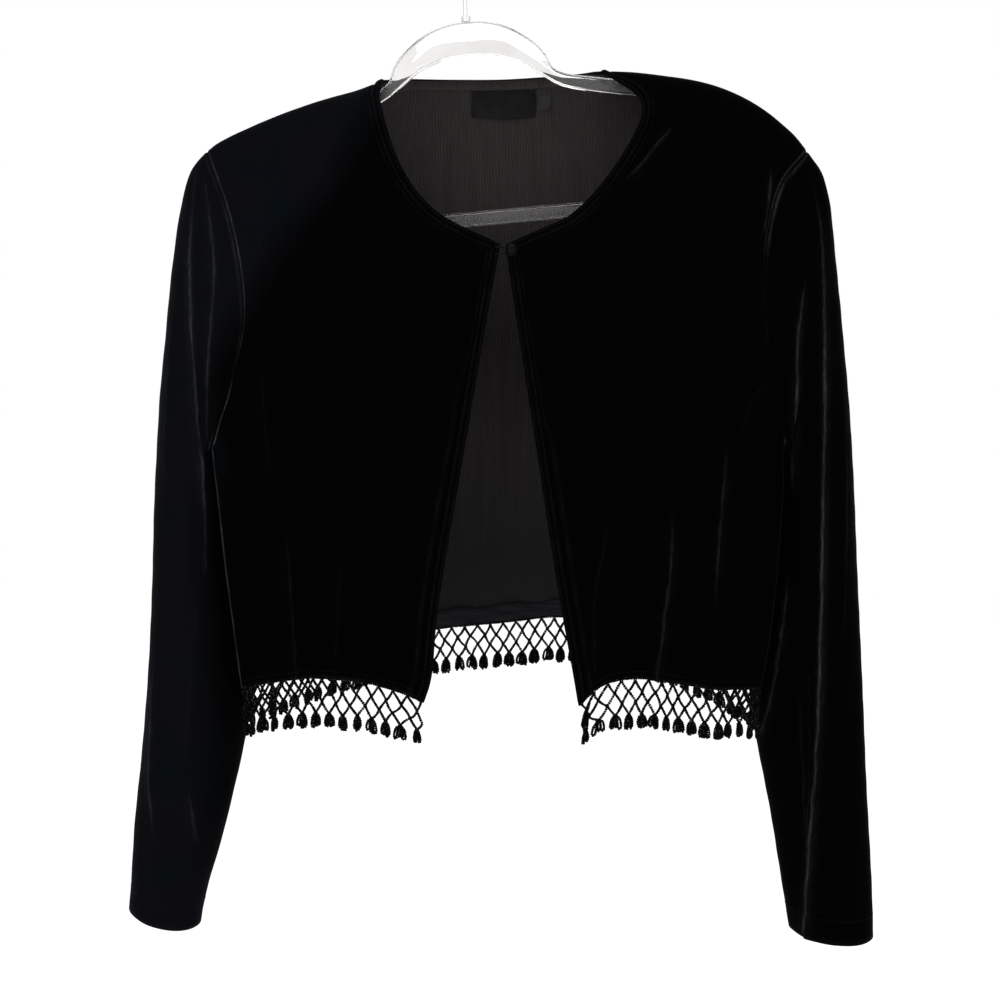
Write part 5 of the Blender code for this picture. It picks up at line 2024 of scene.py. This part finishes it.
@dataclass
class Clasp:
    """Ball button on its shank, and the twisted thread loop round the shank."""

    finishes: Finishes
    across: float = 0.0046
    drop: float = 0.2415
    diameter: float = 0.0072
    shank: float = 0.0022
    shank_diameter: float = 0.0018
    cord: float = 0.0011
    twist: float = 0.0018

    @property
    def face(self) -> float:
        """Y of the cloth under the button."""
        return float(front_y(np.array(self.across), np.array(self.drop)))

    def build_button(self) -> Object:
        """Turn the ball and draw its shank out of it.

        Returns:
            The button.
        """
        deselect()
        middle = (CENTRE_X + self.across, self.face - 0.0004 - self.shank - self.diameter / 2, -self.drop)
        bpy.ops.mesh.primitive_uv_sphere_add(segments=40, ring_count=24, radius=self.diameter / 2,
                                             location=middle, rotation=(math.pi / 2, 0, 0))
        ball = bpy.context.object
        bpy.ops.object.transform_apply(location=True, rotation=True, scale=True)
        with editing(ball, lambda polygon: polygon.center.y > middle[1] + 0.47 * self.diameter):
            for share in (0.55, 0.45):
                bpy.ops.mesh.extrude_region_move(TRANSFORM_OT_translate={"value": (0, self.shank * share, 0)})
            bpy.ops.transform.resize(value=(1.35, 1, 1.35))
        return settle(ball, "ball_button", self.finishes.button)

    def build_loop(self) -> Object:
        """Twist two threads into the loop that holds the button.

        Returns:
            The loop.
        """
        ring = self.shank_diameter / 2 + self.cord / 2 + 0.0003
        start = -RIGHT.edge[0][0] - BAND_WIDTH / 2
        stops = [(start, self.drop - ring * 1.6)]
        for degrees in range(100, -101, -20):
            turn = math.radians(degrees)
            stops.append((self.across + ring * math.cos(turn), self.drop - ring * math.sin(turn)))
        stops.append((start, self.drop + ring * 1.6))
        route = at_shares(smooth_curve(stops, 8), np.linspace(0, 1, 90))
        level = self.face - 0.0006 - self.cord / 2
        middle = np.column_stack([CENTRE_X + route[:, 0], np.full(len(route), level), -route[:, 1]])
        ways = unit(np.gradient(middle, axis=0))
        aside = np.cross(ways, (0, 1, 0))
        thread = Sewing("thread_loop")
        phase = lengths_along(middle) / self.twist * 2 * math.pi
        for turn in (0, math.pi):
            offset = np.cos(phase + turn)[:, None] * aside + np.sin(phase + turn)[:, None] * (0, 1, 0)
            thread.add(*tube(middle + offset * self.cord * 0.24, self.cord * 0.29, 8))
        return thread.build(self.finishes.thread)


@dataclass
class Hanger:
    """Clear moulded hanger with a risen bar and a plated wire hook.

    web is how far the arms' and the bar's thin web lies under their rims on each face.
    """

    finishes: Finishes
    top: Pair = (0.0066, 0.0754)
    tilt: float = math.radians(5.2)
    depth: float = 0.006
    bar_drop: float = 0.1418
    bar_height: float = 0.011
    bar_half: float = 0.128
    wire: float = 0.0032
    inside: float = 0.034
    upper: Line = (
        (0.0000, 0.0000), (0.0120, 0.0008), (0.0240, 0.0040), (0.0360, 0.0100), (0.0480, 0.0190),
        (0.0560, 0.0285), (0.0605, 0.0385), (0.0680, 0.0430), (0.0780, 0.0455), (0.1050, 0.0508),
        (0.1500, 0.0615), (0.1780, 0.0705), (0.1860, 0.0760), (0.1880, 0.0810))
    lower: Line = (
        (0.1850, 0.0855), (0.1760, 0.0850), (0.1500, 0.0740), (0.1220, 0.0650), (0.0900, 0.0585),
        (0.0660, 0.0520), (0.0500, 0.0415), (0.0360, 0.0320), (0.0180, 0.0260))
    lower_middle: Pair = (0.0, 0.0245)
    web: float = 0.0014
    rim: float = 0.0011
    rim_step: float = 0.0004
    rounding: float = 0.00035
    rise: Line = ((0.1700, 0.0860), (0.1690, 0.1000), (0.1640, 0.1160), (0.1530, 0.1310), (0.1400, 0.1392))

    def moulded(self, name: str, outline: Grid) -> Object:
        """Mould a flat outline with a thin web between thicker rims.

        Args:
            name: the piece's name.
            outline: its closed outline in the hanger's own plane.

        Returns:
            The piece.
        """
        deselect()
        bpy.ops.mesh.primitive_circle_add(vertices=len(outline), radius=0.1, fill_type="NGON")
        plate = bpy.context.object
        for vertex, (along, down) in zip(plate.data.vertices, outline):
            vertex.co = (along, -self.depth / 2, -down)
        bpy.ops.object.mode_set(mode="EDIT")
        bpy.ops.mesh.select_all(action="SELECT")
        bpy.ops.mesh.extrude_region_move(TRANSFORM_OT_translate={"value": (0, self.depth, 0)})
        bpy.ops.mesh.select_all(action="SELECT")
        bpy.ops.mesh.normals_make_consistent(inside=False)
        bpy.ops.object.mode_set(mode="OBJECT")
        with editing(plate, lambda polygon: len(polygon.vertices) > 4):
            bpy.ops.mesh.inset(thickness=self.rim, depth=0.0)
            bpy.ops.mesh.inset(thickness=self.rim_step, depth=-self.web)
        bevel = plate.modifiers.new("rims", "BEVEL")
        bevel.width = self.rounding
        bevel.segments = 2
        bevel.limit_method = "ANGLE"
        bevel.angle_limit = math.radians(50)
        plate.location = (self.top[0], 0, -self.top[1])
        plate.rotation_euler = (0, -self.tilt, 0)
        return settle(plate, name, self.finishes.plastic, 30)

    def build_arms(self) -> Object:
        """Mould the arch with its two arms.

        Returns:
            The piece.
        """
        half = [*smooth_curve(self.upper, 3)[1:], *smooth_curve(self.lower, 3)]
        other_half = [(-along, down) for along, down in reversed(half)]
        outline = [self.upper[0], *half, self.lower_middle, *other_half]
        return self.moulded("moulded_arms", np.array(outline))

    def build_bar(self) -> Object:
        """Mould the bar with its two risen ends.

        Returns:
            The piece.
        """
        under = smooth_curve(self.lower, 2)[::-1]
        centre = smooth_curve([*self.rise, (self.bar_half, self.bar_drop)], 4)
        edges = [inset(centre, self.bar_height / 2, sign) for sign in (-1, 1)]
        for edge in edges:
            edge[0][1] = np.interp(edge[0][0], under[:, 0], under[:, 1]) + 0.0002
            edge[-1][0] = self.bar_half
        outer, inner = [[*edge, *(edge[::-1] * (-1, 1))] for edge in edges]
        return self.moulded("moulded_bar", np.array([*outer, *inner[::-1]]))

    def build_hook(self) -> Object:
        """Bend the wire hook and set it in its collar.

        Returns:
            The hook.
        """
        middle = self.inside / 2
        radius = middle + self.wire / 2
        stops = [(self.top[0], self.top[1] - 0.0003), (0.0060, 0.062), (0.0060, 0.052), (0.0085, 0.044)]
        for degrees in range(-40, 206, 15):
            turn = math.radians(degrees)
            stops.append((radius * math.cos(turn), middle - radius * math.sin(turn)))
        route = at_shares(smooth_curve(stops, 8), np.linspace(0, 1, 140))
        path = np.column_stack([route[:, 0], np.zeros(len(route)), -route[:, 1]])
        deselect()
        bpy.ops.mesh.primitive_uv_sphere_add(segments=20, ring_count=12, radius=self.wire * 0.62,
                                             location=tuple(path[-1]))
        tip = bpy.context.object
        bpy.ops.mesh.primitive_cylinder_add(vertices=32, radius=0.0034, depth=0.0036,
                                            location=(self.top[0], 0, -self.top[1] + 0.0019))
        collar = bpy.context.object
        with editing(collar, lambda polygon: abs(polygon.normal.z) > 0.9):
            bpy.ops.mesh.inset(thickness=0.0006, depth=0.0003)
        wire = mesh_piece("bent_wire", *tube(path, self.wire / 2, 20), self.finishes.wire)
        deselect()
        for thing in (tip, collar, wire):
            thing.select_set(True)
        bpy.context.view_layer.objects.active = wire
        bpy.ops.object.join()
        return settle(wire, "wire_hook", self.finishes.wire, 40)


@dataclass
class Studio:
    """White sweep, soft lights and the camera."""

    camera_place: tuple[float, float, float] = (0.03135, -1.37260, -0.28039)
    camera_pitch: float = 84.0
    lens: float = 66.575
    floor: float = -1.75
    aim: tuple[float, float, float] = (CENTRE_X, 0, -0.35)

    # Name, place, power and size of each soft light
    LIGHTS = (("key_softbox", (-0.9, -1.6, 0.5), 9.0, 1.2), ("fill_softbox", (1.2, -1.5, 0.1), 5.0, 1.4),
              ("rim_softbox", (0.3, 1.3, 0.7), 5.0, 1.2))

    def build(self) -> None:
        """Set up the floor, world, lights and camera."""
        scene = bpy.context.scene
        scene.view_settings.view_transform = "Standard"
        world = bpy.data.worlds.new("white_room")
        world.use_nodes = True
        world.node_tree.nodes["Background"].inputs["Color"].default_value = (1, 1, 1, 1)
        world.node_tree.nodes["Background"].inputs["Strength"].default_value = 1.0
        scene.world = world
        deselect()
        bpy.ops.mesh.primitive_plane_add(size=14, location=(0, 0, self.floor))
        sweep = settle(bpy.context.object, "floor_sweep", PaleFloor().make())
        for light in self.LIGHTS:
            self.light(*light)
        camera = bpy.data.cameras.new("camera")
        camera.lens = self.lens
        camera.sensor_width = 36
        camera.clip_start = 0.01
        holder = bpy.data.objects.new("camera", camera)
        holder.location = self.camera_place
        holder.rotation_euler = (math.radians(self.camera_pitch), 0, 0)
        scene.collection.objects.link(holder)
        scene.camera = holder

    def light(self, name: str, place: tuple[float, float, float], power: float, size: float) -> None:
        """Hang one square soft light that looks at the jacket.

        Args:
            name: its name.
            place: where it hangs.
            power: its power in watts.
            size: the length of its side.
        """
        data = bpy.data.lights.new(name, "AREA")
        data.energy = power
        data.size = size
        lamp = bpy.data.objects.new(name, data)
        lamp.location = place
        lamp.rotation_euler = (Vector(self.aim) - Vector(place)).to_track_quat("-Z", "Y").to_euler()
        bpy.context.scene.collection.objects.link(lamp)


@dataclass
class Jacket:
    """The whole jacket on its hanger."""

    finishes: Finishes

    def build(self) -> None:
        """Build and dress every piece."""
        body = Body(self.finishes)
        cloth = body.dress()
        trims = self.trims(body)
        sewing = self.sewing(body)
        inside = self.inside(body)
        clasp = Clasp(self.finishes)
        button = publish(clasp.build_button(), "button", "button")
        publish(clasp.build_loop(), "trim", "button_loop")
        hanger = Hanger(self.finishes)
        publish(hanger.build_arms(), "clear_plastic", "hanger_arms")
        publish(hanger.build_bar(), "clear_plastic", "hanger_bar")
        publish(hanger.build_hook(), "wire", "hanger_hook")
        for side in Wearer:
            word = side.word

    def trims(self, body: Body) -> dict[str, Object]:
        """String the net under each hem.

        Args:
            body: the cut pieces.

        Returns:
            The nets by side.
        """
        made = {}
        for side, seed in ((Wearer.RIGHT, 7), (Wearer.LEFT, 19)):
            hem = np.vstack([body.bands[side].hem()[:1], body.fronts[side].hem()])
            knots = ((0.90, 0.012), (0.75, 0.006)) if side is Wearer.RIGHT else ((0.045, 0.005),)
            net = NetTrim("net_" + side.word, hem, True, knots, level=0.0083, seed=seed)
            made[side.word] = publish(net.build(self.finishes), "trim", "fringe_" + side.word)
        net = NetTrim("net_back", body.back.hem(), seed=31)
        made["back"] = publish(net.build(self.finishes), "trim", "fringe_back")
        return made

    def sewing(self, body: Body) -> Object:
        """Topstitch the bands, hems and cuffs.

        Args:
            body: the cut pieces.

        Returns:
            All the stitches as one piece.
        """
        sewing = Sewing("topstitching")
        for side in Wearer:
            front, band, sleeve = body.fronts[side], body.bands[side], body.sleeves[side]
            sewing.row(*band.line_at(Edge.LAST, 0.0011, band.outer))
            sewing.row(*band.line_at(Edge.FIRST, 0.0011, band.outer))
            sewing.row(*front.line_at(Edge.LOW, 0.0044, front.outer))
            sewing.row(*sleeve.line_at(Edge.HIGH, 0.0180, sleeve.outer))
        sewing.row(*body.back.line_at(Edge.LOW, 0.0044, body.back.outer))
        for edge in (Edge.LOW, Edge.HIGH):
            sewing.row(*body.back_band.line_at(edge, 0.0011, body.back_band.outer))
        return publish(sewing.build(self.finishes.thread), "trim")

    def inside(self, body: Body) -> list[Object]:
        """Hem allowance, label and tab on the back's inner face.

        Args:
            body: the cut pieces.

        Returns:
            Those pieces.
        """
        strip, thread = HemAllowance().build(body.back, self.finishes)
        made = [publish(strip, "velvet"), publish(thread, "trim")]
        woven = NeckLabel("woven_label", (-0.0254, 0.0235), (0.1178, 0.1375), sag=0.0008, lift=0.0018)
        tab = NeckLabel("woven_tab", (0.0243, 0.0358), (0.1215, 0.1325), sag=0.0, lift=0.0006)
        for sewn, material, node in ((woven, self.finishes.satin, "label"),
                                     (tab, self.finishes.tab, "size_tab")):
            label, stitches = sewn.build(material, self.finishes.thread)
            made += [publish(label, "label", node), publish(stitches, "trim")]
        return made


def main() -> None:
    """Build the studio and the jacket."""
    logging.basicConfig(level=logging.INFO, format="%(name)s: %(message)s", stream=sys.stdout)
    Studio().build()
    Jacket(Finishes.made()).build()


if __name__ == "__main__":
    main()
